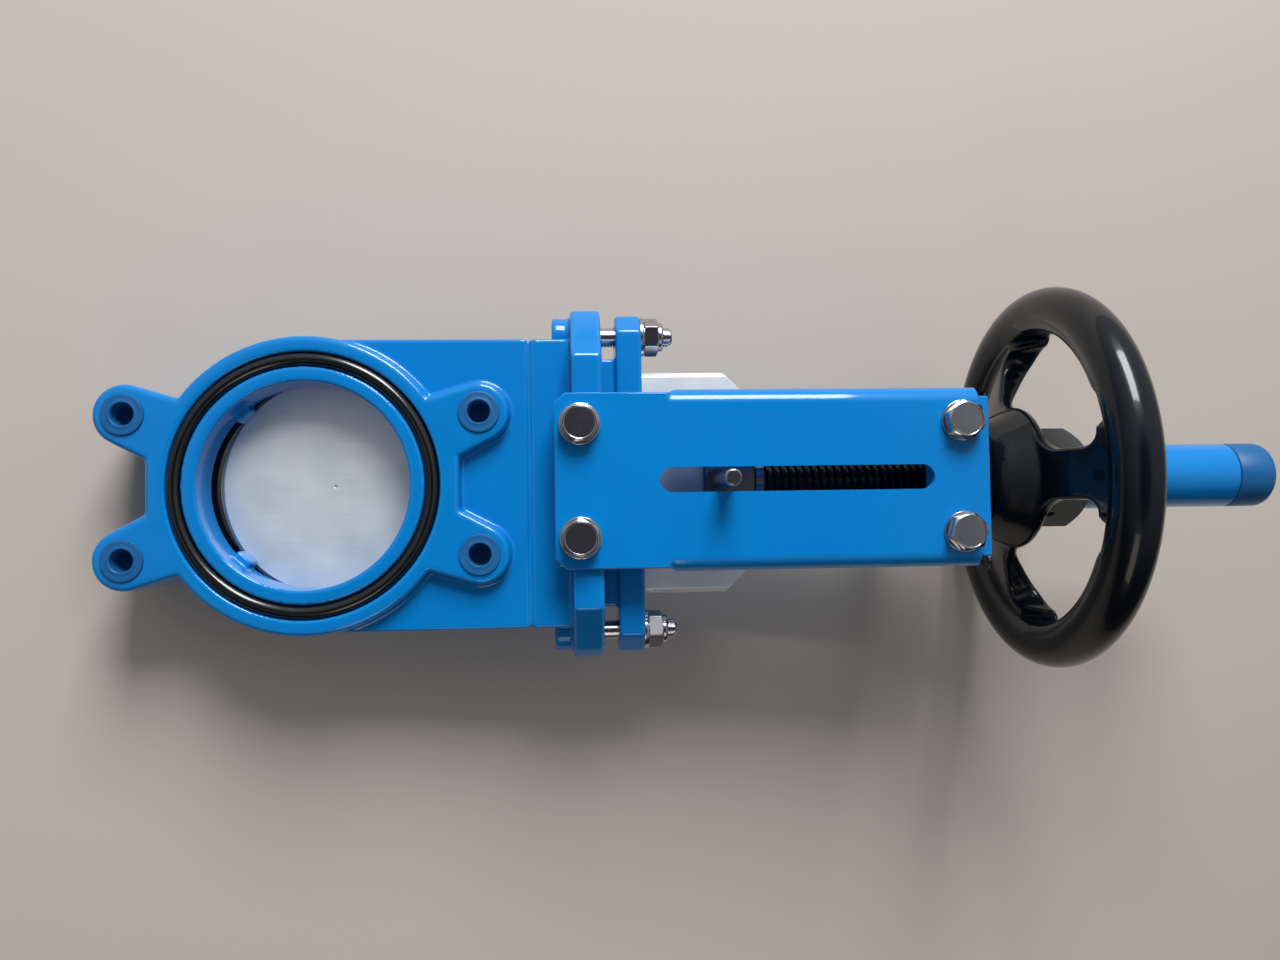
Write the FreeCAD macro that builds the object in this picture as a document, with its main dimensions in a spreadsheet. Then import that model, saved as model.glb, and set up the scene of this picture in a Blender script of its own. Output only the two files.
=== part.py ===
"""DN100 wafer knife gate valve with a rising stem, built from its driving dimensions.

Frame: origin at the centre of the port, halfway between the two flange faces.
+Z runs up the stem, the front face looks along -Y, and +X is across the gate.
All sizes are in millimetres.
"""

import FreeCAD, Part
import os
import re

import Sketcher
from FreeCAD import Rotation, Vector

doc = FreeCAD.newDocument("KnifeGateValve")

# ---------------------------------------------------------------- driving dimensions

SIZES = {
    # cast body
    "port_radius": 50.0,
    "face_half": 26.0,            # half of the 52 mm face-to-face length
    "ring_radius": 72.0,
    "lug_across": 34.44,          # half of the hole spacing along X
    "lug_up": 83.15,              # half of the hole spacing along Z
    "lug_radius": 14.6,
    "lug_hole_radius": 7.0,       # M16 thread, tapping size
    "lug_hole_depth": 17.0,
    "lug_lean": 22.5,             # angle between a lug and the stem
    "lug_flare": 5.5,             # how much each side of a lug opens towards the ring
    "lug_run_outer": 24.0,
    "lug_run_inner": 28.0,
    "web_across": 12.8,
    "web_up": 73.5,
    "chest_half": 71.3,
    "chest_depth": 18.0,          # half thickness of the gate chest
    "chest_top": 127.7,
    "step_low": 105.6,
    "step_high": 108.4,
    "step_depth": 1.3,
    "ear_top": 142.8,
    "ear_flat": 61.0,
    "ear_tip": 87.0,
    "ear_nose": 4.0,
    "ear_shoulder": 15.0,
    "ear_end": 9.5,
    "ear_round": 1.75,
    "yoke_seat": 34.0,            # half distance between the yoke plates
    "pad_half": 40.0,
    "pad_bottom": 121.0,
    "boss_bottom": 118.3,
    "boss_radius": 9.7,
    "chock_width": 9.0,
    "chock_inner": 45.6,
    "chock_front": 15.0,
    "chock_angle": 132.0,
    "cast_round": 2.5,
    # gate channel, packing chamber and guides
    "channel_half": 57.3,
    "channel_depth": 3.6,
    "guide_outer": 61.3,
    "guide_depth": 5.7,
    "guide_bottom": 30.0,
    "guide_top": 104.0,
    "box_half": 62.3,
    "box_depth": 11.3,
    "box_bottom": 108.8,
    # face seals
    "seal_radius": 60.6,
    "seal_cord": 3.2,
    "seal_groove_inner": 57.0,
    "seal_groove_outer": 64.2,
    "seal_groove_depth": 5.6,
    "seal_proud": 1.0,
    # gate seat
    "seat_bore": 55.2,
    "seat_outer": 55.1,
    "seat_face": 3.4,
    "seat_back": 9.0,
    "retainer_lip": 53.0,
    "retainer_flange": 5.0,
    # packing and gland
    "packing_tall": 7.8,
    "packing_low": 109.0,
    "gland_half": 62.1,
    "gland_depth": 11.1,
    "gate_gap": 0.35,
    "follower_low": 150.3,
    "follower_high": 163.4,
    "follower_tip": 85.0,
    "follower_depth": 15.0,
    "follower_bevel": 9.0,
    "follower_round": 1.5,
    "stud_across": 75.0,
    "stud_radius": 5.0,
    "stud_low": 119.0,
    "stud_high": 180.0,
    "washer_radius": 10.0,
    "washer_thick": 2.0,
    "gland_nut_flats": 17.0,
    "stud_bevel": 1.2,
    "gland_nut_tall": 7.5,
    "gland_nut_collar": 7.4,
    "gland_nut_collar_tall": 2.5,
    # knife gate
    "gate_half": 56.5,
    "gate_depth": 3.0,
    "gate_lift": 10.0,            # height of the gate's lower arc centre at rest
    "gate_top": 220.8,
    "gate_corner": 15.0,
    "gate_bevel": 2.2,
    "notch_half": 13.6,
    "notch_bottom": 209.0,
    # stem, clevis and pins
    "stem_radius": 10.0,
    "stem_low": 210.0,
    "stem_high": 374.0,
    "stem_foot_bevel": 1.0,
    "stem_top_bevel": 2.0,
    "clevis_half": 13.0,
    "clevis_depth": 11.0,
    "clevis_low": 194.0,
    "clevis_high": 220.9,
    "clevis_neck_radius": 12.0,
    "clevis_neck_high": 225.0,
    "pin_radius": 4.0,
    "pin_up": 201.3,
    "pin_front": 60.0,
    "pin_back": 14.0,
    "pin_bevel": 0.6,
    "clip_radius": 6.5,
    "clip_thick": 1.2,
    "stem_pin_radius": 2.0,
    "stem_pin_up": 215.0,
    # yoke
    "plate_thick": 4.0,
    "plate_low": 119.7,
    "plate_high": 331.0,
    "plate_half": 42.0,
    "plate_corner": 5.5,
    "flange_half": 44.0,
    "flange_low": 173.3,
    "flange_high": 326.5,
    "flange_reach": 16.0,
    "tab_half": 38.0,
    "bend_radius": 4.8,
    "slot_half": 6.0,
    "slot_low": 169.5,
    "slot_high": 303.6,
    "bolt_across": 27.0,
    "bolt_low": 131.5,
    "bolt_high": 317.3,
    "bolt_radius": 5.0,
    "bolt_hole_radius": 5.5,
    "bolt_tap_radius": 5.05,
    "bolt_flats": 17.0,
    "bolt_head_tall": 6.4,
    "bolt_long": 16.0,
    "run_out": 1.5,               # how far a tapped hole goes past its bolt's tip
    "bridge_low": 305.0,
    "bridge_web": 318.6,
    "bridge_leg": 13.0,
    "bridge_hole": 14.0,
    "nest_radius": 23.0,
    "nest_low": 322.0,
    "thrust_thick": 1.4,
    "thrust_outer": 22.7,
    "cap_radius": 32.0,
    "cap_high": 335.0,
    "cap_screw_ring": 27.5,
    "cap_screw_radius": 2.5,
    "cap_screw_head": 4.25,
    "cap_screw_tall": 1.6,
    "cap_screw_long": 12.0,
    "cap_screw_socket": 1.7,
    "cap_screw_socket_deep": 1.0,
    # stem nut and handwheel
    "nut_flange_low": 323.6,
    "nut_flange_high": 329.4,
    "nut_flange_radius": 22.0,
    "nut_barrel": 17.0,
    "nut_thread": 15.0,
    "nut_high": 383.0,
    "nut_bore": 10.05,
    "running_gap": 0.5,
    "hub_low": 337.0,
    "hub_high": 368.0,
    "hub_radius": 24.0,
    "hub_bore": 17.05,
    "hub_foot_bevel": 2.0,
    "hub_waist": 350.0,           # where the hub starts to spread into the dish
    "hub_waist_radius": 25.0,
    "hub_crown_radius": 30.0,
    "hub_crown": 364.0,
    "hub_face_radius": 27.0,
    "dish_radius": 40.0,
    "dish_low": 355.5,
    "dish_high": 362.5,
    "rim_ring": 87.6,
    "rim_section": 11.5,
    "rim_up": 375.6,
    "spoke_width": 25.0,
    "spoke_inner": 34.0,
    "spoke_outer": 83.6,
    "spoke_inner_low": 353.5,
    "spoke_inner_high": 363.5,
    "spoke_outer_low": 369.6,
    "spoke_outer_high": 378.6,
    "root_start": 58.0,           # the spoke's flared root along the rim
    "root_bend": 66.0,
    "root_bend_half": 20.0,
    "root_half": 36.0,
    "root_edge": 71.0,
    "root_outer": 76.0,
    "root_low": 365.0,
    "root_high": 374.0,
    "key_half": 4.0,
    "key_low": 342.0,
    "key_high": 364.0,
    "key_inner": 13.0,
    "key_outer": 20.3,
    # collar, tube and plug
    "collar_flats": 45.0,
    "collar_low": 368.0,
    "collar_high": 391.0,
    "tube_radius": 16.85,
    "tube_bore": 13.65,
    "tube_low": 383.6,
    "tube_high": 475.0,
    "plug_high": 497.0,
    "plug_round": 5.5,
    "plug_spigot": 13.5,
    "plug_hollow": 12.0,
    "plug_wall": 4.0,
    "plug_spigot_low": 466.0,
    "screw_radius": 2.5,
    "screw_up": 374.0,
    "screw_socket": 1.3,
    "screw_socket_deep": 2.5,
    "screw_sunk": 1.0,
    # plastic plugs in the lug holes
    "cover_radius": 10.0,
    "cover_thick": 1.3,
    "cover_barrel": 6.9,
    "cover_bore": 5.4,
    "cover_deep": 13.0,
    "cover_floor": 1.5,
    "cover_bevel": 0.5,
}

sheet = doc.addObject("Spreadsheet::Sheet", "Sizes")
for row, (alias, value) in enumerate(SIZES.items(), start=1):
    sheet.set(f"A{row}", alias)
    sheet.set(f"B{row}", str(value))
    sheet.setAlias(f"B{row}", alias)
doc.recompute()

WORD = re.compile(r"\b(" + "|".join(SIZES) + r")\b")
FRONT, BACK = -1, 1
FACING_FRONT = Rotation(Vector(1, 0, 0), 90)
FACING_BACK = Rotation(Vector(1, 0, 0), -90)


# ---------------------------------------------------------------- building helpers


def bound(text):
    """The expression with every alias written as a cell of the sheet."""
    return WORD.sub(r"Sizes.\1", str(text))


def worth(text):
    """The number that an expression has now."""
    return float(sheet.evalExpression(bound(text)))


def bind(thing, prop, text):
    """Tie one property to the sheet."""
    thing.setExpression(prop, bound(text))


def place(thing, x="0", y="0", z="0", turn=None):
    """Put an object at a place given by three expressions, after an optional turn."""
    if turn is not None:
        thing.Placement.Rotation = turn
    for axis, text in zip("xyz", (x, y, z)):
        if text != "0":
            bind(thing, f"Placement.Base.{axis}", text)
    return thing


def primitive(kind, name, **sizes):
    """A Part primitive whose sizes are tied to the sheet."""
    thing = doc.addObject(f"Part::{kind}", name)
    for prop, text in sizes.items():
        bind(thing, prop, text)
    return thing


def cylinder(name, radius, length, x="0", y="0", z="0", turn=None):
    """A cylinder that starts at a place and runs along its turned Z."""
    return place(primitive("Cylinder", name, Radius=radius, Height=length), x, y, z, turn)


def box(name, x, y, z):
    """A box given by a low and a high expression along each axis."""
    spans = (x, y, z)
    sizes = [f"({high}) - ({low})" for low, high in spans]
    thing = primitive("Box", name, Length=sizes[0], Width=sizes[1], Height=sizes[2])
    return place(thing, *(f"0 + ({low})" for low, high in spans))


def cut(name, base, tool):
    """The first shape less the second."""
    thing = doc.addObject("Part::Cut", name)
    thing.Base, thing.Tool = base, tool
    return thing


def fuse(name, shapes):
    """Shapes joined into one solid."""
    thing = doc.addObject("Part::MultiFuse", name)
    thing.Shapes = shapes
    return thing


def group(name, shapes):
    """Separate solids kept together in one node."""
    thing = doc.addObject("Part::Compound", name)
    thing.Links = shapes
    return thing


def new_body(name):
    """An empty body."""
    return doc.addObject("PartDesign::Body", name)


def new_sketch(body, plane, offset):
    """A sketch on one of the body's own planes, moved along the plane's normal."""
    sketch = body.newObject("Sketcher::SketchObject", f"{body.Name}_sketch")
    support = next(f for f in body.Origin.OriginFeatures if f.Role == f"{plane}_Plane")
    sketch.AttachmentSupport = [(support, "")]
    sketch.MapMode = "FlatFace"
    if offset != "0":
        bind(sketch, "AttachmentOffset.Base.z", offset)
    return sketch


def hold(sketch, geometry, point, across, up):
    """Fix one point of a sketch by two expressions."""
    for kind, text, axis in (("DistanceX", across, -2), ("DistanceY", up, -1)):
        if text == "0":
            sketch.addConstraint(Sketcher.Constraint("PointOnObject", geometry, point, axis))
            continue
        number = sketch.addConstraint(Sketcher.Constraint(kind, -1, 1, geometry, point, worth(text)))
        bind(sketch, f"Constraints[{number}]", text)


def polygon(*corners):
    """A drawing of a closed polygon."""

    def draw(sketch):
        first = sketch.GeometryCount
        dots = [Vector(worth(across), worth(up), 0) for across, up in corners]
        count = len(dots)
        for index in range(count):
            sketch.addGeometry(Part.LineSegment(dots[index], dots[(index + 1) % count]))
        for index in range(count):
            following = first + (index + 1) % count
            sketch.addConstraint(Sketcher.Constraint("Coincident", first + index, 2, following, 1))
        for index, (across, up) in enumerate(corners):
            hold(sketch, first + index, 1, across, up)

    return draw


def rectangle(low_across, high_across, low_up, high_up):
    """A drawing of an upright rectangle."""
    return polygon(
        (low_across, low_up), (high_across, low_up), (high_across, high_up), (low_across, high_up)
    )


def circles(radius, *centres):
    """A drawing of equal circles."""

    def draw(sketch):
        for across, up in centres:
            middle = Vector(worth(across), worth(up), 0)
            geometry = sketch.addGeometry(Part.Circle(middle, Vector(0, 0, 1), worth(radius)))
            hold(sketch, geometry, 3, across, up)
            number = sketch.addConstraint(Sketcher.Constraint("Radius", geometry, worth(radius)))
            bind(sketch, f"Constraints[{number}]", radius)

    return draw


def drawn(body, plane, offset, drawings):
    """A sketch with its drawings."""
    sketch = new_sketch(body, plane, offset)
    for drawing in drawings:
        drawing(sketch)
    return sketch


def extrude(body, kind, plane, low, high, *drawings):
    """A Pad or Pocket of a sketch between two places on the axis across its plane."""
    along = {"XY": (low, 1), "YZ": (low, 1), "XZ": (high, -1)}[plane]
    offset = along[0] if along[1] == 1 else f"0 - ({along[0]})"
    sketch = drawn(body, plane, offset, drawings)
    before = body.Shape.Volume if body.Tip else 0.0
    feature = body.newObject(f"PartDesign::{kind}", f"{body.Name}_{kind.lower()}")
    feature.Profile = sketch
    feature.Reversed = kind == "Pocket"
    bind(feature, "Length", f"({high}) - ({low})")
    doc.recompute()
    change = body.Shape.Volume - before
    if (kind == "Pad") != (change > 0) or abs(change) < 0.01:
        raise ValueError(f"{feature.Name} changed the volume by {change:.3f}")
    return feature


def pad(body, plane, low, high, *drawings):
    """Add material."""
    return extrude(body, "Pad", plane, low, high, *drawings)


def pocket(body, plane, low, high, *drawings):
    """Take material away."""
    return extrude(body, "Pocket", plane, low, high, *drawings)


def turned(body, plane, axis, *drawings):
    """Add a profile turned once round the sketch's own axis."""
    sketch = drawn(body, plane, "0", drawings)
    feature = body.newObject("PartDesign::Revolution", f"{body.Name}_turned")
    feature.Profile = sketch
    feature.ReferenceAxis = (sketch, [axis])
    feature.Angle = 360.0
    doc.recompute()
    return feature


def lathe(name, *corners, about="Z"):
    """A turned piece from its half section of (radius, place along the axis) corners."""
    body = new_body(name)
    if about == "Z":
        turned(body, "XZ", "V_Axis", polygon(*corners))
    else:
        turned(body, "YZ", "H_Axis", polygon(*((along, radius) for radius, along in corners)))
    return body


def dress(body, kind, prop, amount, chosen):
    """A Fillet or Chamfer on the edges that a test picks out."""
    names = [f"Edge{number}" for number, edge in enumerate(body.Shape.Edges, 1) if chosen(edge)]
    if not names:
        raise ValueError(f"no edge of {body.Name} was chosen")
    base = body.Tip
    feature = body.newObject(f"PartDesign::{kind}", f"{body.Name}_{kind.lower()}")
    feature.Base = (base, names)
    bind(feature, prop, amount)
    doc.recompute()
    return feature


def rounded(body, amount, chosen):
    """Round some edges."""
    return dress(body, "Fillet", "Radius", amount, chosen)


def chamfered(body, amount, chosen):
    """Bevel some edges."""
    return dress(body, "Chamfer", "Size", amount, chosen)


def runs_along(edge, axis):
    """Whether a straight edge is parallel to an axis."""
    if not isinstance(edge.Curve, (Part.Line, Part.LineSegment)):
        return False
    way = edge.tangentAt(edge.FirstParameter)
    return abs(abs(way.dot(axis)) - 1) < 1e-6


def span(side, near_text, far_text):
    """The two places on one side of zero, lowest first."""
    return sorted((signed(side, near_text), signed(side, far_text)), key=worth)


def near(value, *targets, slack=0.02):
    """Whether a number is close to one of the targets."""
    return any(abs(value - target) < slack for target in targets)


X_WAY, Y_WAY, Z_WAY = Vector(1, 0, 0), Vector(0, 1, 0), Vector(0, 0, 1)
SIDES = (-1, 1)


def signed(sign, text):
    """An expression with a sign in front."""
    return f"{sign} * ({text})"


# ---------------------------------------------------------------- cast body


def lug_outline(across, up):
    """One lug's flared web, from its round end to inside the ring."""
    sides = []
    for side, run in ((1, "lug_run_outer"), (-1, "lug_run_inner")):
        angle = f"lug_lean - {side} * lug_flare"
        tip = (f"lug_across + {side} * lug_radius * cos({angle})",
               f"lug_up - {side} * lug_radius * sin({angle})")
        root = (f"{tip[0]} - {run} * sin({angle})", f"{tip[1]} - {run} * cos({angle})")
        sides.append((tip, root))
    (tip_a, root_a), (tip_b, root_b) = sides
    ring = (tip_a, root_a, root_b, tip_b)
    return polygon(*((signed(across, x), signed(up, z)) for x, z in ring))


def make_valve_body():
    """The casting: flange ring, lugs, chest, gland box, ears and yoke pads."""
    body = new_body("valve_body")
    corners = [(signed(a, "lug_across"), signed(u, "lug_up")) for a in SIDES for u in SIDES]
    faces = ("-face_half", "face_half")
    pad(body, "XZ", *faces, circles("ring_radius", ("0", "0")))
    pad(body, "XZ", "-chest_depth", "chest_depth",
        rectangle("-chest_half", "chest_half", "0", "chest_top"))
    for across in SIDES:
        for up in SIDES:
            pad(body, "XZ", *faces, lug_outline(across, up))
    pad(body, "XZ", *faces, circles("lug_radius", *corners))
    pad(body, "XZ", *faces, rectangle("-web_across", "web_across", "-web_up", "web_up"))
    ear = [("ear_flat", "yoke_seat"), ("ear_tip - ear_nose", "ear_shoulder"), ("ear_tip", "ear_end")]
    outline = ear + [(x, f"0 - ({y})") for x, y in reversed(ear)]
    outline += [(f"0 - ({x})", f"0 - ({y})") for x, y in ear]
    outline += [(f"0 - ({x})", y) for x, y in reversed(ear)]
    pad(body, "XY", "chest_top", "ear_top", polygon(*outline))
    pad(body, "XY", "pad_bottom", "chest_top",
        rectangle("-pad_half", "pad_half", "-yoke_seat", "yoke_seat"))
    pad(body, "XY", "boss_bottom", "chest_top",
        circles("boss_radius", ("stud_across", "0"), ("-stud_across", "0")))

    seat = worth("face_half")
    ear_low, ear_high = worth("chest_top"), worth("ear_top")

    def is_outline(edge):
        box_ = edge.BoundBox
        on_face = near(box_.YMin, -seat, seat) and near(box_.YMax, -seat, seat)
        return on_face and near(box_.YLength, 0)

    rounded(body, "cast_round", is_outline)

    def is_ear(edge):
        box_ = edge.BoundBox
        flat = near(box_.ZLength, 0) and near(box_.ZMin, ear_high)
        corner = runs_along(edge, Z_WAY) and near(box_.ZMin, ear_low) and near(box_.ZMax, ear_high)
        return flat or corner

    rounded(body, "ear_round", is_ear)

    # perimeter step between the chest and the gland box
    for side in SIDES:
        deep = span(side, "chest_depth - step_depth", "chest_depth + 1")
        wide = span(side, "chest_half - step_depth", "chest_half + 1")
        step = ("step_low", "step_high")
        pocket(body, "XZ", *deep, rectangle("-chest_half - 1", "chest_half + 1", *step))
        pocket(body, "YZ", *wide, rectangle("-chest_depth - 1", "chest_depth + 1", *step))

    # port, seat counterbore, gate channel, guides and packing chamber
    pocket(body, "XZ", *faces, circles("port_radius", ("0", "0")))
    pocket(body, "XZ", "0", "face_half", circles("seat_bore", ("0", "0")))
    channel = ("-channel_depth", "channel_depth")
    pocket(body, "XZ", *channel, circles("channel_half", ("0", "0")))
    pocket(body, "XZ", *channel, rectangle("-channel_half", "channel_half", "0", "box_bottom + 1"))
    for side in SIDES:
        across = span(side, "channel_half - 1", "guide_outer")
        pocket(body, "XZ", "-guide_depth", "guide_depth",
               rectangle(*across, "guide_bottom", "box_bottom + 1"))
    pocket(body, "XY", "box_bottom", "ear_top",
           rectangle("-box_half", "box_half", "-box_depth", "box_depth"))

    # face seal grooves and lug holes on both faces
    for low, high in (("-face_half", "-face_half + seal_groove_depth"),
                      ("face_half - seal_groove_depth", "face_half")):
        groove = (circles("seal_groove_outer", ("0", "0")), circles("seal_groove_inner", ("0", "0")))
        pocket(body, "XZ", low, high, *groove)
    for low, high in (("-face_half", "-face_half + lug_hole_depth"),
                      ("face_half - lug_hole_depth", "face_half")):
        pocket(body, "XZ", low, high, circles("lug_hole_radius", *corners))

    # tapped holes for the yoke bolts and the gland studs
    yoke = [(signed(side, "bolt_across"), "bolt_low") for side in SIDES]
    deep = "yoke_seat + washer_thick - bolt_long - run_out"
    pocket(body, "XZ", "-yoke_seat", f"0 - ({deep})", circles("bolt_tap_radius", *yoke))
    pocket(body, "XZ", deep, "yoke_seat", circles("bolt_tap_radius", *yoke))
    pocket(body, "XY", "boss_bottom + 0.7", "ear_top",
           circles("stud_radius + 0.05", ("stud_across", "0"), ("-stud_across", "0")))

    # two cast chocks in the lower port that press the gate on its seat
    for side in SIDES:
        corners = []
        for radius, half in (("chock_inner", -0.5), ("chock_inner", 0.5),
                             ("port_radius + 1", 0.5), ("port_radius + 1", -0.5)):
            out = (f"({radius}) * sin(chock_angle)", f"({radius}) * cos(chock_angle)")
            slip = (f"chock_width * {half} * cos(chock_angle)", f"chock_width * {half} * sin(chock_angle)")
            corners.append((signed(side, f"{out[0]} + {slip[0]}"), f"{out[1]} - {slip[1]}"))
        pad(body, "XZ", "-chock_front", "-channel_depth", polygon(*corners))
    return body


def make_face_seal(name, side):
    """An O-ring that stands a little proud of its groove."""
    ring = primitive("Torus", name, Radius1="seal_radius", Radius2="seal_cord")
    reach = signed(side, "face_half + seal_proud - seal_cord")
    return place(ring, y=reach, turn=FACING_BACK)


def make_guide_strips():
    """Two low-friction strips that the gate's edges run along."""
    strips = []
    for side in SIDES:
        across = span(side, "gate_half + 0.5", "guide_outer - 0.1")
        depth = ("-guide_depth + 0.1", "guide_depth - 0.1")
        up = ("guide_bottom + 0.2", "guide_top")
        strips.append(box(f"guide_strip_{len(strips) + 1}", across, depth, up))
    return group("guide_strips", strips)


PACKING_LEVELS = ("lower", "middle", "upper")


def make_packing(name, index):
    """One packing ring round the gate."""
    low = f"packing_low + {index} * (packing_tall + 0.1)"
    high = f"{low} + packing_tall"
    outer = box(f"{name}_outer", ("-gland_half", "gland_half"), ("-gland_depth", "gland_depth"),
                (low, high))
    across = ("-gate_half - gate_gap", "gate_half + gate_gap")
    depth = ("-gate_depth - gate_gap", "gate_depth + gate_gap")
    inner = box(f"{name}_inner", across, depth, (f"{low} - 1", f"{high} + 1"))
    return cut(name, outer, inner)


def make_gland_follower():
    """The pusher plate with the spigot that presses the packing."""
    body = new_body("gland_follower")
    tip = [("follower_tip - follower_bevel", "follower_depth"),
           ("follower_tip", "follower_depth - follower_bevel")]
    outline = tip + [(x, f"0 - ({y})") for x, y in reversed(tip)]
    outline += [(f"0 - ({x})", f"0 - ({y})") for x, y in tip]
    outline += [(f"0 - ({x})", y) for x, y in reversed(tip)]
    pad(body, "XY", "follower_low", "follower_high", polygon(*outline))
    heights = (worth("follower_low"), worth("follower_high"))
    rounded(body, "cast_round", lambda edge: runs_along(edge, Z_WAY))
    rounded(body, "follower_round",
            lambda edge: near(edge.BoundBox.ZLength, 0) and near(edge.BoundBox.ZMin, *heights))
    top = "packing_low + 3 * (packing_tall + 0.1)"
    pad(body, "XY", top, "follower_low",
        rectangle("-gland_half", "gland_half", "-gland_depth", "gland_depth"))
    pocket(body, "XY", top, "follower_high",
           rectangle("-gate_half - gate_gap", "gate_half + gate_gap",
                     "-gate_depth - gate_gap", "gate_depth + gate_gap"))
    pocket(body, "XY", "follower_low", "follower_high",
           circles("stud_radius + 0.5", ("stud_across", "0"), ("-stud_across", "0")))
    return body


def make_gland_studs():
    """Two studs with bevelled tips."""
    studs = []
    for side in SIDES:
        stud = lathe(f"gland_stud_{len(studs) + 1}", ("0", "stud_low"), ("stud_radius", "stud_low"),
                     ("stud_radius", "stud_high - stud_bevel"), ("stud_radius - stud_bevel", "stud_high"),
                     ("0", "stud_high"))
        studs.append(place(stud, x=signed(side, "stud_across")))
    return group("gland_studs", studs)


def make_washer(name, x, y, z, turn=None):
    """A plain washer for an M10 thread."""
    ring = cut(name, cylinder(f"{name}_disc", "washer_radius", "washer_thick"),
               cylinder(f"{name}_hole", "bolt_hole_radius", "washer_thick"))
    return place(ring, x, y, z, turn)


def hexagon(name, flats, tall):
    """A hexagon with its top corners bevelled as on a turned head."""
    prism = primitive("Prism", f"{name}_prism", Circumradius=f"({flats}) / 2 / cos(30)", Height=tall)
    prism.Polygon = 6
    cone = primitive("Cone", f"{name}_cone", Radius1=f"0.48 * ({flats}) + ({tall}) / tan(30)",
                     Radius2=f"0.48 * ({flats})", Height=tall)
    head = doc.addObject("Part::MultiCommon", f"{name}_hexagon")
    head.Shapes = [prism, cone]
    return head


GLAND_NUT_TURNS = (12, 36)


def make_gland_nuts():
    """Two lock nuts with a round collar that grips the thread."""
    nuts = []
    for side in SIDES:
        name = f"gland_nut_{len(nuts) + 1}"
        collar = primitive("Cone", f"{name}_collar", Radius1="gland_nut_collar",
                           Radius2="gland_nut_collar - 0.8", Height="gland_nut_collar_tall")
        place(collar, z="gland_nut_tall")
        whole = fuse(f"{name}_whole", [hexagon(name, "gland_nut_flats", "gland_nut_tall"), collar])
        bore = cylinder(f"{name}_bore", "stud_radius + 0.05", "gland_nut_tall + gland_nut_collar_tall")
        nut = cut(name, whole, bore)
        turn = Rotation(Z_WAY, GLAND_NUT_TURNS[len(nuts)])
        nuts.append(place(nut, signed(side, "stud_across"), "0", "follower_high + washer_thick", turn))
    return group("gland_nuts", nuts)


def make_yoke_plate(name, side):
    """A folded yoke plate with the indicator slot; the back one is the front one turned round."""
    body = new_body(name)
    inner, outer = "0 - yoke_seat", "0 - yoke_seat - plate_thick"
    right = [("plate_half - plate_corner", "plate_low"), ("plate_half", "plate_low + plate_corner"),
             ("plate_half", "flange_low"), ("flange_half", "flange_low"), ("flange_half", "flange_high"),
             ("tab_half", "flange_high"), ("tab_half", "plate_high")]
    left = [(f"0 - ({x})", z) for x, z in reversed(right)]
    pad(body, "XZ", outer, inner, polygon(*right, *left))
    for hand in SIDES:
        across = span(hand, "flange_half - plate_thick", "flange_half")
        pad(body, "XZ", inner, "0 - yoke_seat + flange_reach - plate_thick",
            rectangle(*across, "flange_low", "flange_high"))
    fold = worth(outer)
    edge_x = worth("flange_half")
    rounded(body, "bend_radius", lambda edge: runs_along(edge, Z_WAY)
            and near(edge.BoundBox.YMin, fold) and near(abs(edge.BoundBox.XMin), edge_x))
    ends = (("0", "slot_low + slot_half"), ("0", "slot_high - slot_half"))
    pocket(body, "XZ", outer, inner, rectangle("-slot_half", "slot_half", *(up for _, up in ends)))
    pocket(body, "XZ", outer, inner, circles("slot_half", *ends))
    holes = [(signed(hand, "bolt_across"), up) for hand in SIDES for up in ("bolt_low", "bolt_high")]
    pocket(body, "XZ", outer, inner, circles("bolt_hole_radius", *holes))
    if side == BACK:
        body.Placement.Rotation = Rotation(Z_WAY, 180)
    return body


def make_yoke_bolts(name, up, turns):
    """Four hexagon bolts, two into each side, each head left at its own angle."""
    bolts = []
    for side in (FRONT, BACK):
        for hand in SIDES:
            label = f"{name}_{len(bolts) + 1}"
            head = hexagon(label, "bolt_flats", "bolt_head_tall")
            shank = cylinder(f"{label}_shank", "bolt_radius", "bolt_long + plate_thick",
                             z="-bolt_long - plate_thick")
            facing = FACING_FRONT if side == FRONT else FACING_BACK
            spin = Rotation(Z_WAY, turns[len(bolts)])
            reach = signed(side, "yoke_seat + plate_thick + washer_thick")
            bolt = fuse(label, [head, shank])
            bolts.append(place(bolt, signed(hand, "bolt_across"), reach, up, facing.multiply(spin)))
    return group(name, bolts)


def make_yoke_washers(name, up):
    """Four washers under the yoke bolts."""
    rings = []
    for side in (FRONT, BACK):
        for hand in SIDES:
            facing = FACING_FRONT if side == FRONT else FACING_BACK
            reach = signed(side, "yoke_seat + plate_thick")
            label = f"{name}_{len(rings) + 1}"
            rings.append(make_washer(label, signed(hand, "bolt_across"), reach, up, facing))
    return group(name, rings)


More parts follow.
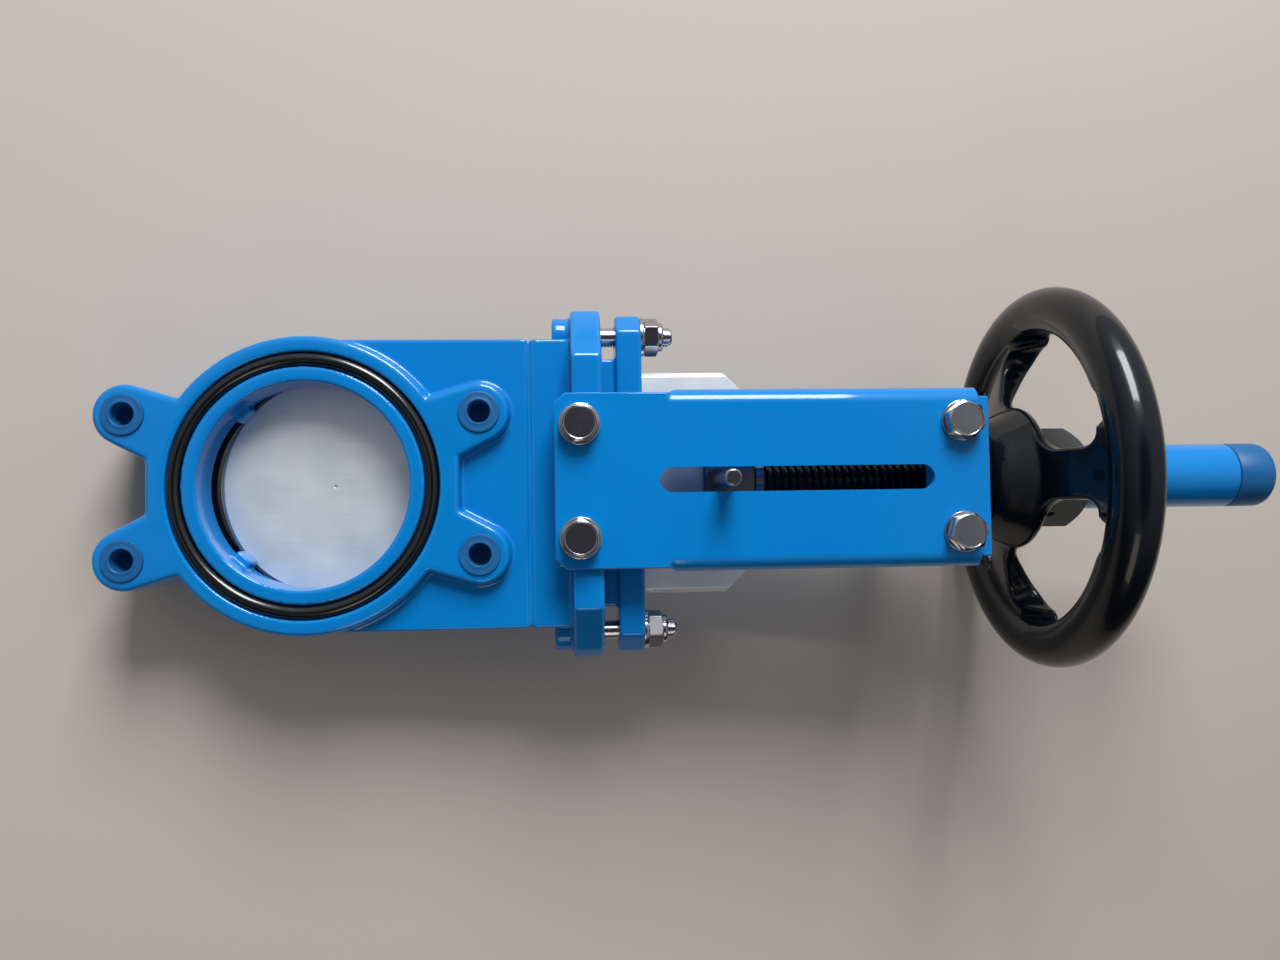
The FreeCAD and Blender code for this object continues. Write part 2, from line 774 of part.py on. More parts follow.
def make_yoke_bridge():
    """An upturned channel between the plates that nests the stem nut."""
    body = new_body("yoke_bridge")
    across = ("-tab_half", "tab_half")
    pad(body, "XY", "bridge_web", "plate_high", rectangle(*across, "-yoke_seat", "yoke_seat"))
    for side in SIDES:
        leg = span(side, "yoke_seat - bridge_leg", "yoke_seat")
        pad(body, "XY", "bridge_low", "bridge_web", rectangle(*across, *leg))
    pocket(body, "XY", "bridge_web", "nest_low", circles("bridge_hole", ("0", "0")))
    pocket(body, "XY", "nest_low", "plate_high", circles("nest_radius", ("0", "0")))
    holes = [(signed(hand, "bolt_across"), "bolt_high") for hand in SIDES]
    deep = "yoke_seat + washer_thick - bolt_long - run_out"
    pocket(body, "XZ", "-yoke_seat", f"0 - ({deep})", circles("bolt_tap_radius", *holes))
    pocket(body, "XZ", deep, "yoke_seat", circles("bolt_tap_radius", *holes))
    pocket(body, "XY", "cap_high - cap_screw_long - 1", "plate_high",
           circles("cap_screw_radius + 0.05", *cap_screw_places()))
    low = worth("bridge_low")
    chamfered(body, "1.5", lambda edge: runs_along(edge, X_WAY) and near(edge.BoundBox.ZMin, low))
    return body


def cap_screw_places():
    """Three places round the bearing cap."""
    return [(f"cap_screw_ring * cos({angle})", f"cap_screw_ring * sin({angle})")
            for angle in (90, 210, 330)]


def make_thrust_washer(name, low):
    """A flat bronze ring that carries the stem nut's flange."""
    ring = cut(name, cylinder(f"{name}_disc", "thrust_outer", "thrust_thick"),
               cylinder(f"{name}_hole", "nut_barrel + running_gap", "thrust_thick"))
    return place(ring, z=low)


def make_bearing_cap():
    """The round cap that keeps the stem nut in the bridge."""
    body = new_body("bearing_cap")
    pad(body, "XY", "plate_high", "cap_high", circles("cap_radius", ("0", "0")))
    pocket(body, "XY", "plate_high", "cap_high", circles("nut_barrel + running_gap", ("0", "0")))
    pocket(body, "XY", "plate_high", "cap_high", circles("cap_screw_radius + 0.3", *cap_screw_places()))
    top, outer = worth("cap_high"), worth("cap_radius")
    chamfered(body, "0.8", lambda edge: near(edge.BoundBox.ZMin, top) and near(edge.BoundBox.XMax, outer))
    return body


def make_cap_screws():
    """Three socket screws; their heads stay under the turning hub."""
    screws = []
    for x, y in cap_screw_places():
        label = f"bearing_cap_screw_{len(screws) + 1}"
        head = cylinder(f"{label}_head", "cap_screw_head", "cap_screw_tall")
        shank = cylinder(f"{label}_shank", "cap_screw_radius", "cap_screw_long", z="-cap_screw_long")
        socket = primitive("Prism", f"{label}_socket", Circumradius="cap_screw_socket",
                           Height="cap_screw_socket_deep + 0.1")
        place(socket, z="cap_screw_tall - cap_screw_socket_deep")
        socket.Polygon = 6
        screw = cut(label, fuse(f"{label}_blank", [head, shank]), socket)
        screws.append(place(screw, x, y, "cap_high"))
    return group("bearing_cap_screws", screws)


def make_lug_plugs():
    """Four cupped plastic plugs that keep the front threads clean."""
    plugs = []
    for across in SIDES:
        for up in SIDES:
            label = f"lug_plug_{len(plugs) + 1}"
            face = "-face_half"
            plug = lathe(label, ("0", f"{face} + cover_deep"), ("cover_barrel", f"{face} + cover_deep"),
                         ("cover_barrel", face), ("cover_radius", face),
                         ("cover_radius - cover_bevel", f"{face} - cover_thick"),
                         ("cover_bore", f"{face} - cover_thick"),
                         ("cover_bore", f"{face} + cover_deep - cover_floor"),
                         ("0", f"{face} + cover_deep - cover_floor"),
                         about="Y")
            plugs.append(place(plug, signed(across, "lug_across"), "0", signed(up, "lug_up")))
    return group("lug_plugs", plugs)


# ---------------------------------------------------------------- gate and stem


def make_knife_gate():
    """The gate: round bevelled lower end, bevelled top corners, notch and pin hole."""
    body = new_body("knife_gate")
    depth = ("-gate_depth", "gate_depth")
    right = [("gate_half", "gate_lift"), ("gate_half", "gate_top - gate_corner"),
             ("gate_half - gate_corner", "gate_top"), ("notch_half", "gate_top"),
             ("notch_half", "notch_bottom")]
    left = [(f"0 - ({x})", z) for x, z in reversed(right)]
    pad(body, "XZ", *depth, polygon(*right, *left))
    pad(body, "XZ", *depth, circles("gate_half", ("0", "gate_lift")))
    front, low = worth("-gate_depth"), worth("gate_lift - gate_half")
    chamfered(body, "gate_bevel", lambda edge: near(edge.BoundBox.ZMin, low)
              and near(edge.BoundBox.YMax, front) and near(edge.BoundBox.YMin, front))
    pocket(body, "XZ", *depth, circles("pin_radius + 0.05", ("0", "pin_up")))
    return body


def make_stem_clevis():
    """The block that joins the stem to the gate, forked round the gate's top."""
    body = new_body("stem_clevis")
    sides = ("-clevis_half", "clevis_half", "-clevis_depth", "clevis_depth")
    pad(body, "XY", "clevis_low", "clevis_high", rectangle(*sides))
    edge_z = (worth("clevis_low"), worth("clevis_high"))
    chamfered(body, "1", lambda edge: runs_along(edge, Z_WAY) or near(edge.BoundBox.ZMin, *edge_z))
    pad(body, "XY", "clevis_high", "clevis_neck_high", circles("clevis_neck_radius", ("0", "0")))
    gap = ("-gate_depth - 0.05", "gate_depth + 0.05")
    pocket(body, "YZ", "-clevis_half", "clevis_half", rectangle(*gap, "clevis_low", "notch_bottom + 0.05"))
    pocket(body, "XY", "stem_low", "clevis_neck_high", circles("stem_radius", ("0", "0")))
    pocket(body, "XZ", "-clevis_depth", "clevis_depth", circles("pin_radius", ("0", "pin_up")))
    pocket(body, "YZ", "-clevis_half", "clevis_half", circles("stem_pin_radius", ("0", "stem_pin_up")))
    return body


def make_stem():
    """The rising stem, with its cross hole; its trapezoidal thread is Tr20x4, left hand."""
    body = lathe("stem", ("0", "stem_low"), ("stem_radius - stem_foot_bevel", "stem_low"),
                 ("stem_radius", "stem_low + stem_foot_bevel"),
                 ("stem_radius", "stem_high - stem_top_bevel"),
                 ("stem_radius - stem_top_bevel", "stem_high"), ("0", "stem_high"))
    pocket(body, "YZ", "-stem_radius", "stem_radius", circles("stem_pin_radius", ("0", "stem_pin_up")))
    return body


def make_indicator_pin():
    """The pin through clevis and gate that points out through the front slot."""
    pin = lathe("indicator_pin", ("0", "-pin_front"), ("pin_radius - pin_bevel", "-pin_front"),
                ("pin_radius", "-pin_front + pin_bevel"), ("pin_radius", "pin_back - pin_bevel"),
                ("pin_radius - pin_bevel", "pin_back"), ("0", "pin_back"), about="Y")
    return place(pin, z="pin_up")


def make_pin_clips():
    """Two retaining rings that keep the pin in the clevis."""
    clips = []
    for side in SIDES:
        name = f"pin_clip_{len(clips) + 1}"
        facing = FACING_FRONT if side == FRONT else FACING_BACK
        clip = cut(name, cylinder(f"{name}_disc", "clip_radius", "clip_thick"),
                   cylinder(f"{name}_hole", "pin_radius", "clip_thick"))
        clips.append(place(clip, "0", signed(side, "clevis_depth + 0.05"), "pin_up", facing))
    return group("pin_clips", clips)


# ---------------------------------------------------------------- handwheel drive


def make_stem_nut():
    """The flanged bronze nut whose barrel carries the handwheel."""
    body = lathe("stem_nut", ("nut_bore", "nut_flange_low"), ("nut_flange_radius", "nut_flange_low"),
                 ("nut_flange_radius", "nut_flange_high"), ("nut_barrel", "nut_flange_high"),
                 ("nut_barrel", "hub_high - 0.5"), ("nut_thread", "hub_high - 0.5"),
                 ("nut_thread", "nut_high"), ("nut_bore", "nut_high"))
    pocket(body, "XY", "key_low", "key_high",
           rectangle("-key_half", "key_half", "0 - nut_barrel - 1", "0 - key_inner"))
    return body


def make_handwheel():
    """The dished three-spoke wheel; each spoke spreads along the rim and one points to the front."""
    body = new_body("handwheel")
    hub = [("hub_bore", "hub_low"), ("hub_radius - hub_foot_bevel", "hub_low"),
           ("hub_radius", "hub_low + hub_foot_bevel"), ("hub_waist_radius", "hub_waist"),
           ("dish_radius", "dish_low"), ("dish_radius", "dish_high"), ("hub_crown_radius", "hub_crown"),
           ("hub_face_radius", "hub_high"), ("hub_bore", "hub_high")]
    turned(body, "XZ", "V_Axis", polygon(*hub))
    spoke = [("-spoke_inner", "spoke_inner_low"), ("-spoke_inner", "spoke_inner_high"),
             ("-spoke_outer", "spoke_outer_high"), ("-spoke_outer", "spoke_outer_low")]
    arm = pad(body, "YZ", "-spoke_width / 2", "spoke_width / 2", polygon(*spoke))
    side = [("spoke_width / 2", "-root_start"), ("root_bend_half", "-root_bend"),
            ("root_half", "-root_edge"), ("root_half", "-root_outer")]
    root = side + [(f"0 - ({x})", y) for x, y in reversed(side)]
    flare = pad(body, "XY", "root_low", "root_high", polygon(*root))
    arms = body.newObject("PartDesign::PolarPattern", "handwheel_spokes")
    arms.Originals = [arm, flare]
    arms.Axis = (next(f for f in body.Origin.OriginFeatures if f.Role == "Z_Axis"), [""])
    arms.Angle = 360.0
    arms.Occurrences = 3
    body.Tip = arms
    doc.recompute()
    turned(body, "XZ", "V_Axis", circles("rim_section", ("rim_ring", "rim_up")))
    pocket(body, "XY", "hub_low", "hub_high",
           rectangle("-key_half - 0.05", "key_half + 0.05", "0 - key_outer", "0 - hub_bore + 1"))
    return body


def make_key():
    """The key that drives the stem nut from the wheel."""
    return box("handwheel_key", ("-key_half", "key_half"), ("-key_outer + 0.1", "-key_inner - 0.1"),
               ("key_low + 0.1", "key_high - 0.1"))


def make_hex_collar():
    """The hexagonal collar: screws on the nut, clamps the wheel and holds the tube."""
    tall = "collar_high - collar_low"
    outer = hexagon("hex_collar_blank", "collar_flats", tall)
    low = cylinder("hex_collar_thread", "nut_thread + 0.05", tall)
    high = cylinder("hex_collar_socket", "tube_radius + 0.05", tall, z="tube_low - collar_low")
    hole = cylinder("hex_collar_tap", "screw_radius + 0.05", "collar_flats", z="screw_up - collar_low",
                    turn=Rotation(Z_WAY, -30).multiply(Rotation(Vector(0, 1, 0), 90)))
    collar = cut("hex_collar", outer, fuse("hex_collar_holes", [low, high, hole]))
    return place(collar, z="collar_low")


def make_set_screw():
    """The grub screw in the collar's side."""
    body = lathe("collar_set_screw", ("0", "nut_thread + 0.1"), ("screw_radius", "nut_thread + 0.1"),
                 ("screw_radius", "collar_flats / 2 - screw_sunk"),
                 ("screw_socket", "collar_flats / 2 - screw_sunk"),
                 ("screw_socket", "collar_flats / 2 - screw_sunk - screw_socket_deep"),
                 ("0", "collar_flats / 2 - screw_sunk - screw_socket_deep"))
    turn = Rotation(Z_WAY, -30).multiply(Rotation(Vector(0, 1, 0), 90))
    return place(body, z="screw_up", turn=turn)


def make_stem_tube():
    """The tube that covers the risen stem."""
    return lathe("stem_tube", ("tube_bore", "tube_low"), ("tube_radius", "tube_low"),
                 ("tube_radius", "tube_high"), ("tube_bore", "tube_high"))


def make_tube_end_plug():
    """The push-in plastic end plug."""
    body = lathe("tube_end_plug", ("plug_hollow", "plug_spigot_low"), ("plug_spigot", "plug_spigot_low"),
                 ("plug_spigot", "tube_high + 0.1"), ("tube_radius", "tube_high + 0.1"),
                 ("tube_radius", "plug_high"), ("0", "plug_high"), ("0", "plug_high - plug_wall"),
                 ("plug_hollow", "plug_high - plug_wall"))
    top, outer = worth("plug_high"), worth("tube_radius")
    rounded(body, "plug_round",
            lambda edge: near(edge.BoundBox.ZMin, top) and near(edge.BoundBox.XMax, outer))
    return body


# ---------------------------------------------------------------- the whole valve

nodes = [
    make_valve_body(),
    make_face_seal("front_face_seal", FRONT),
    make_face_seal("back_face_seal", BACK),
    lathe("seat_ring", ("port_radius", "seat_face"), ("seat_outer", "seat_face"),
          ("seat_outer", "seat_back"), ("port_radius", "seat_back"), about="Y"),
    lathe("seat_retainer_ring", ("port_radius", "seat_back + 0.05"), ("retainer_lip", "seat_back + 0.05"),
          ("retainer_lip", "face_half - retainer_flange"), ("seat_outer", "face_half - retainer_flange"),
          ("seat_outer", "face_half"), ("port_radius", "face_half"), about="Y"),
    make_guide_strips(),
    *(make_packing(f"packing_ring_{level}", index) for index, level in enumerate(PACKING_LEVELS)),
    make_gland_follower(),
    make_gland_studs(),
    group("gland_washers", [
        make_washer(f"gland_washer_{index}", signed(side, "stud_across"), "0", "follower_high")
        for index, side in enumerate(SIDES, 1)
    ]),
    make_gland_nuts(),
    make_yoke_plate("yoke_plate_front", FRONT),
    make_yoke_plate("yoke_plate_back", BACK),
    make_yoke_bolts("yoke_lower_bolts", "bolt_low", (8, 31, 20, 44)),
    make_yoke_bolts("yoke_upper_bolts", "bolt_high", (40, 14, 27, 5)),
    make_yoke_washers("yoke_lower_washers", "bolt_low"),
    make_yoke_washers("yoke_upper_washers", "bolt_high"),
    make_yoke_bridge(),
    make_thrust_washer("thrust_washer_lower", "nest_low + 0.05"),
    make_thrust_washer("thrust_washer_upper", "nut_flange_high + 0.1"),
    make_bearing_cap(),
    make_cap_screws(),
    make_lug_plugs(),
    make_knife_gate(),
    make_stem_clevis(),
    make_stem(),
    cylinder("stem_pin", "stem_pin_radius", "2 * clevis_half - 1", x="-clevis_half + 0.5", z="stem_pin_up",
             turn=Rotation(Vector(0, 1, 0), 90)),
    make_indicator_pin(),
    make_pin_clips(),
    make_stem_nut(),
    make_handwheel(),
    make_key(),
    make_hex_collar(),
    make_set_screw(),
    make_stem_tube(),
    make_tube_end_plug(),
]

doc.recompute()
for thing in doc.Objects:
    if {"Invalid", "Error"} & set(thing.State):
        raise ValueError(f"{thing.Label} failed: {thing.State}")
for node in nodes:
    if node.Shape.isNull() or not node.Shape.isValid():
        raise ValueError(f"{node.Label} has no valid shape")

os.makedirs("parts", exist_ok=True)
for node in nodes:
    node.Shape.exportStep(f"parts/{node.Label}.step")
    room = node.Shape.BoundBox
    print(f"{node.Label:22s} solids {len(node.Shape.Solids):2d} volume {node.Shape.Volume:10.0f}"
          f"  x {room.XMin:7.1f} {room.XMax:7.1f}  y {room.YMin:7.1f} {room.YMax:7.1f}"
          f"  z {room.ZMin:7.1f} {room.ZMax:7.1f}")
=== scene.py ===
"""The looks of a wafer knife gate valve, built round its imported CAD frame.

The object stands as in CAD: +Z up the stem, the front face towards -Y, metres.
Every piece sits at the origin with its place in its mesh, and rides on the CAD body it belongs to.
"""
import logging
import math
from collections.abc import Mapping, Sequence
from dataclasses import dataclass
from enum import Enum
from typing import Any

import bmesh
import bpy
import numpy as np
from mathutils import Matrix, Vector


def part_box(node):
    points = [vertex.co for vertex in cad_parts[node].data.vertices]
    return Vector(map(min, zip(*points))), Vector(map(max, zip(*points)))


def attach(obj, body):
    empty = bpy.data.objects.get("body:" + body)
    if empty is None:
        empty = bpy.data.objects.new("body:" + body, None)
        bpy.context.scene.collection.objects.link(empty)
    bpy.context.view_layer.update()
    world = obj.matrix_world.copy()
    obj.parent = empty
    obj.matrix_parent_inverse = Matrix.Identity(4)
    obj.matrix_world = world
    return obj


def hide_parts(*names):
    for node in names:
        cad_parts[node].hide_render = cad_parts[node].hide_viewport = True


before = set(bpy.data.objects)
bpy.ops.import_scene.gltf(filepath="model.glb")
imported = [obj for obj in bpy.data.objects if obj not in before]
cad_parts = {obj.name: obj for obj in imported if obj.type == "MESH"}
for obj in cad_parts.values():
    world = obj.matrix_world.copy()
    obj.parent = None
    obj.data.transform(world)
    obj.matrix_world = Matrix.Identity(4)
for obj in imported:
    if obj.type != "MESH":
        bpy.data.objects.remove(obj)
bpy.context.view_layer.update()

LOG = logging.getLogger("knife_gate_valve")
MM = 0.001
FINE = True
WAVES_PER_UNIT = 20  # bands that a wave texture of scale one draws in one unit
MERGE = 2e-6  # points of a CAD mesh nearer than this are one point

Material = bpy.types.Material
Mesh = bpy.types.Mesh
Node = bpy.types.Node
Object = bpy.types.Object
Socket = bpy.types.NodeSocket
Tree = bpy.types.NodeTree
Span = tuple[float, float]
Triple = tuple[float, float, float]
Values = float | np.ndarray


class Body(str, Enum):
    """The CAD bodies that pieces ride on."""

    FRAME = "valve_frame"
    DRIVE = "handwheel_drive"
    GATE = "gate_and_stem"
    END_PLUG = "tube_end_plug"


class Side(Enum):
    """The two faces of the valve, by the sign of Y."""

    FRONT = -1
    BACK = 1


# ---- small tools


def ramp(value: float, start: float, end: float) -> float:
    """How far a value is from a start to an end, held between 0 and 1."""
    return min(max((value - start) / (end - start), 0.0), 1.0)


def eased(share: float) -> float:
    """Softens both ends of a share that runs from 0 to 1."""
    return share * share * (3 - 2 * share)


def polar(radius: Values, angle: Values, height: Values) -> np.ndarray:
    """Rows of points round Z, from millimetres and radians to metres."""
    radius, angle, height = np.broadcast_arrays(radius, angle, height)
    return np.stack([radius * np.cos(angle), radius * np.sin(angle), height], 1) * MM


def linear(colour: str) -> tuple[float, float, float, float]:
    """Turns an sRGB hex colour into linear red, green and blue, with an alpha of one."""
    parts = [int(colour[i : i + 2], 16) / 255 for i in (1, 3, 5)]
    red, green, blue = (p / 12.92 if p <= 0.04045 else ((p + 0.055) / 1.055) ** 2.4 for p in parts)
    return red, green, blue, 1.0


def per_mm(size: float) -> float:
    """The texture scale at which a pattern repeats about every `size` millimetres."""
    return 1.0 / (size * MM)


def add_node(tree: Tree, kind: str, settings: Mapping[Any, Any] | None = None,
             links: Mapping[Any, Any] | None = None) -> Node:
    """Adds a node with its settings and links.

    Args:
        tree: the node tree that gets the node.
        kind: the node's type name.
        settings: lower-case words are the node's properties, other keys are its inputs.
        links: input to the output socket that feeds it.

    Returns:
        The new node.
    """
    node = tree.nodes.new(kind)
    for key, value in (settings or {}).items():
        if isinstance(key, str) and key.islower():
            setattr(node, key, value)
        else:
            node.inputs[key].default_value = value
    for key, socket in (links or {}).items():
        tree.links.new(socket, node.inputs[key])
    return node


# ---- finishes


@dataclass(frozen=True)
class Finish:
    """What a surface is, as constants on the shader and a pattern drawn by the subclass."""

    name: str
    slot: str
    colour: str
    second: str
    roughness: Span
    metallic: float = 0.0
    coat: float = 0.0
    coat_roughness: float = 0.05
    specular: float = 0.5

    def material(self) -> Material:
        """Builds this finish's material, or returns the one already built."""
        known = bpy.data.materials.get(self.name)
        if known:
            return known
        made = bpy.data.materials.new(self.name)
        made.use_nodes = True
        made.diffuse_color = linear(self.colour)
        tree = made.node_tree
        shader = tree.nodes["Principled BSDF"]
        constants = {"Metallic": self.metallic, "Coat Weight": self.coat,
                     "Coat Roughness": self.coat_roughness, "Specular IOR Level": self.specular}
        for socket, value in constants.items():
            shader.inputs[socket].default_value = value
        place = add_node(tree, "ShaderNodeTexCoord").outputs["Object"]
        self.draw(tree, shader, place)
        return made

    def draw(self, tree: Tree, shader: Node, place: Socket) -> None:
        """Draws the pattern from the coordinates at `place`; subclasses say what."""
        raise NotImplementedError

    def mottle(self, tree: Tree, shader: Node, factor: Socket) -> None:
        """Spreads the two colours and the roughness range over the surface by a factor.

        Args:
            tree: the material's node tree.
            shader: its shader.
            factor: a socket that runs from 0 to 1 over the surface.
        """
        mix = add_node(tree, "ShaderNodeMix", {"data_type": "RGBA", 6: linear(self.colour),
                                               7: linear(self.second)}, {0: factor})
        tree.links.new(mix.outputs[2], shader.inputs["Base Color"])
        low, high = self.roughness
        rough = add_node(tree, "ShaderNodeMapRange", {"To Min": low, "To Max": high},
                         {"Value": factor})
        tree.links.new(rough.outputs["Result"], shader.inputs["Roughness"])


def noise(tree: Tree, place: Socket, size: float, detail: float = 2.0,
          stretch: Triple = (1, 1, 1)) -> Socket:
    """A noise pattern of a real size.

    Args:
        tree: the material's node tree.
        place: the coordinates.
        size: the size of its lumps in millimetres.
        detail: how many finer octaves it has.
        stretch: how much longer the lumps are along each axis.

    Returns:
        The pattern's value socket, 0 to 1.
    """
    squeeze = tuple(per_mm(size) / s for s in stretch)
    laid = add_node(tree, "ShaderNodeMapping", {"Scale": squeeze}, {"Vector": place})
    made = add_node(tree, "ShaderNodeTexNoise", {"Scale": 1.0, "Detail": detail},
                    {"Vector": laid.outputs["Vector"]})
    return made.outputs[0]


def relief(tree: Tree, shader: Node,
           layers: Sequence[tuple[Socket, float]]) -> None:
    """Stacks bump layers under a shader.

    Args:
        tree: the material's node tree.
        shader: the shader whose normal they bend.
        layers: each layer's height socket and its depth in millimetres.
    """
    normal = None
    for height, depth in layers:
        links = {"Height": height} | ({"Normal": normal} if normal else {})
        bump = add_node(tree, "ShaderNodeBump", {"Strength": 1.0, "Distance": depth * MM}, links)
        normal = bump.outputs["Normal"]
    tree.links.new(normal, shader.inputs["Normal"])


@dataclass(frozen=True)
class EpoxyPaint(Finish):
    """Sprayed and baked paint: glossy, with orange peel and, on a casting, the sand below."""

    patch: float = 34.0
    peel: float = 3.2
    peel_depth: float = 0.012
    sand: float = 8.0
    sand_depth: float = 0.0

    def draw(self, tree: Tree, shader: Node, place: Socket) -> None:
        """Draws faint shade changes, orange peel and the casting's grain below the paint."""
        self.mottle(tree, shader, noise(tree, place, self.patch, 3.0))
        layers = [(noise(tree, place, self.peel), self.peel_depth)]
        if self.sand_depth:
            layers.append((noise(tree, place, self.sand, 3.0), self.sand_depth))
        relief(tree, shader, layers)


@dataclass(frozen=True)
class BrushedSteel(Finish):
    """Stainless plate from a belt: long fine scratches along Z over a faint cloudiness.

    The scratches are drawn coarser than a real grit, so that they show.
    """

    coarse: float = 0.5
    coarse_run: float = 60.0
    coarse_depth: float = 0.012
    fine: float = 0.22
    fine_run: float = 90.0
    fine_depth: float = 0.004
    cloud: float = 24.0

    def draw(self, tree: Tree, shader: Node, place: Socket) -> None:
        """Draws two widths of scratches and the cloud."""
        coarse = noise(tree, place, self.coarse, 3.0, (1, 1, self.coarse_run))
        fine = noise(tree, place, self.fine, 1.0, (1, 1, self.fine_run))
        cloud = noise(tree, place, self.cloud, 2.0)
        both = add_node(tree, "ShaderNodeMath", {"operation": "MULTIPLY_ADD", 1: 0.6},
                        {0: coarse, 2: cloud})
        shifted = add_node(tree, "ShaderNodeMath",
                           {"operation": "SUBTRACT", 1: 0.3, "use_clamp": True},
                           {0: both.outputs[0]})
        self.mottle(tree, shader, shifted.outputs[0])
        relief(tree, shader, [(coarse, self.coarse_depth), (fine, self.fine_depth)])


@dataclass(frozen=True)
class BrightSteel(Finish):
    """Plated or polished fastener steel: bright, with tool marks and small stains."""

    stain: float = 4.0
    grain: float = 0.6
    grain_depth: float = 0.004

    def draw(self, tree: Tree, shader: Node, place: Socket) -> None:
        """Draws the stains and a fine grain."""
        self.mottle(tree, shader, noise(tree, place, self.stain, 4.0))
        relief(tree, shader, [(noise(tree, place, self.grain), self.grain_depth)])


@dataclass(frozen=True)
class MouldedRubber(Finish):
    """Moulded nitrile rubber: near black, half dull, with the mould's fine skin."""

    bloom: float = 6.0
    skin: float = 0.7
    skin_depth: float = 0.008

    def draw(self, tree: Tree, shader: Node, place: Socket) -> None:
        """Draws a grey bloom and the moulded skin."""
        self.mottle(tree, shader, noise(tree, place, self.bloom, 3.0))
        relief(tree, shader, [(noise(tree, place, self.skin, 2.0), self.skin_depth)])


@dataclass(frozen=True)
class MouldedPlastic(Finish):
    """Moulded polyethylene: waxy and dull, a little cloudy, with drag marks along Z."""

    cloud: float = 5.0
    drag: float = 0.9
    drag_run: float = 12.0
    drag_depth: float = 0.02

    def draw(self, tree: Tree, shader: Node, place: Socket) -> None:
        """Draws the cloud and the drag marks."""
        self.mottle(tree, shader, noise(tree, place, self.cloud, 3.0, (1, 1, 3)))
        marks = noise(tree, place, self.drag, 2.0, (1, 1, self.drag_run))
        relief(tree, shader, [(marks, self.drag_depth)])


@dataclass(frozen=True)
class RawCasting(Finish):
    """Oiled grey iron as cast: dark, grainy and dull."""

    stain: float = 7.0
    grain: float = 0.9
    grain_depth: float = 0.07
    lump: float = 4.0
    lump_depth: float = 0.1

    def draw(self, tree: Tree, shader: Node, place: Socket) -> None:
        """Draws the sand grain and the oil stains."""
        self.mottle(tree, shader, noise(tree, place, self.stain, 5.0))
        relief(tree, shader, [(noise(tree, place, self.grain, 3.0), self.grain_depth),
                              (noise(tree, place, self.lump), self.lump_depth)])


@dataclass(frozen=True)
class TurnedBronze(Finish):
    """Turned bronze: warm metal with lathe rings along Z."""

    tarnish: float = 6.0
    ring_pitch: float = 0.45
    ring_depth: float = 0.01

    def draw(self, tree: Tree, shader: Node, place: Socket) -> None:
        """Draws the tarnish and the lathe rings."""
        self.mottle(tree, shader, noise(tree, place, self.tarnish, 4.0))
        scale = per_mm(self.ring_pitch) / WAVES_PER_UNIT
        rings = add_node(tree, "ShaderNodeTexWave",
                         {"wave_type": "BANDS", "bands_direction": "Z", "Scale": scale},
                         {"Vector": place})
        relief(tree, shader, [(rings.outputs["Fac"], self.ring_depth)])


@dataclass(frozen=True)
class BraidedPacking(Finish):
    """Braided PTFE: off-white, dull, with crossing strands a few millimetres wide."""

    strand: float = 2.4
    strand_depth: float = 0.25

    def draw(self, tree: Tree, shader: Node, place: Socket) -> None:
        """Draws two crossing sets of strands."""
        scale = per_mm(self.strand) / WAVES_PER_UNIT
        sets = []
        for turn in (math.radians(45), math.radians(-45)):
            laid = add_node(tree, "ShaderNodeMapping", {"Rotation": (0, turn, 0)},
                            {"Vector": place})
            wave = add_node(tree, "ShaderNodeTexWave", {"Scale": scale},
                            {"Vector": laid.outputs["Vector"]})
            sets.append(wave.outputs["Fac"])
        cross = add_node(tree, "ShaderNodeMath", {"operation": "MAXIMUM"},
                         {0: sets[0], 1: sets[1]})
        self.mottle(tree, shader, cross.outputs[0])
        relief(tree, shader, [(cross.outputs[0], self.strand_depth)])


# Blue epoxy over grey iron: saturated and glossy, slightly uneven where the sand shows through.
CAST_PAINT = EpoxyPaint("blue_epoxy_on_cast_iron", "blue_epoxy", "#007CC6", "#0073BE", (0.3, 0.38),
                        coat=0.75, specular=0.1, sand_depth=0.04)
# Blue epoxy over folded sheet: the same paint lying flatter, so its reflections are clearer.
SHEET_PAINT = EpoxyPaint("blue_epoxy_on_steel_sheet", "blue_epoxy", "#007DC8", "#0075C1",
                         (0.3, 0.36), coat=0.75, specular=0.1, peel=4.5, peel_depth=0.01)
# Black stove enamel on pressed steel: deep black with soft wide reflections.
BLACK_ENAMEL = EpoxyPaint("black_stove_enamel", "black_gloss", "#06090E", "#0A1017", (0.2, 0.28),
                          coat=0.4, specular=0.2, peel=5.0, peel_depth=0.01)
# Belt-ground 304 stainless: pale grey with a silky streak along the gate.
GATE_STEEL = BrushedSteel("brushed_304_stainless", "gate_stainless", "#D3DCE3", "#F6FAFD",
                          (0.36, 0.5), metallic=0.65)
# Bright stainless fasteners: nearly mirror-like, so they pick up dark and light patches.
BRIGHT_STEEL = BrightSteel("bright_stainless_fasteners", "bright_stainless", "#C9C8CC", "#A8A6AC",
                           (0.12, 0.24), metallic=1.0)
# Greased stem steel with painted shade: the thread's colour is darkened for the shade inside the
# yoke as well as for its grease, so light shows on the crests only.
GREASED_STEEL_PAINTED_SHADE = BrightSteel("greased_stem_steel_painted_shade", "bright_stainless", "#4A4C51", "#2C2E31",
                            (0.2, 0.36), metallic=1.0)
# Plain oiled steel: greyer and duller than the stainless.
PLAIN_STEEL = BrightSteel("oiled_carbon_steel", "plain_steel", "#8B8D90", "#6C6E70", (0.28, 0.42),
                          metallic=1.0)
# Nitrile rubber: black with a soft sheen along the cord.
SEAL_RUBBER = MouldedRubber("moulded_nitrile_rubber", "seal_rubber", "#060708", "#0D0E10",
                            (0.16, 0.28), coat=0.4)
# Blue polyethylene: duller and darker than the paint beside it.
DULL_PLASTIC = MouldedPlastic("moulded_blue_polyethylene", "blue_plastic", "#0F548A", "#1B639E",
                              (0.36, 0.5), specular=0.35)
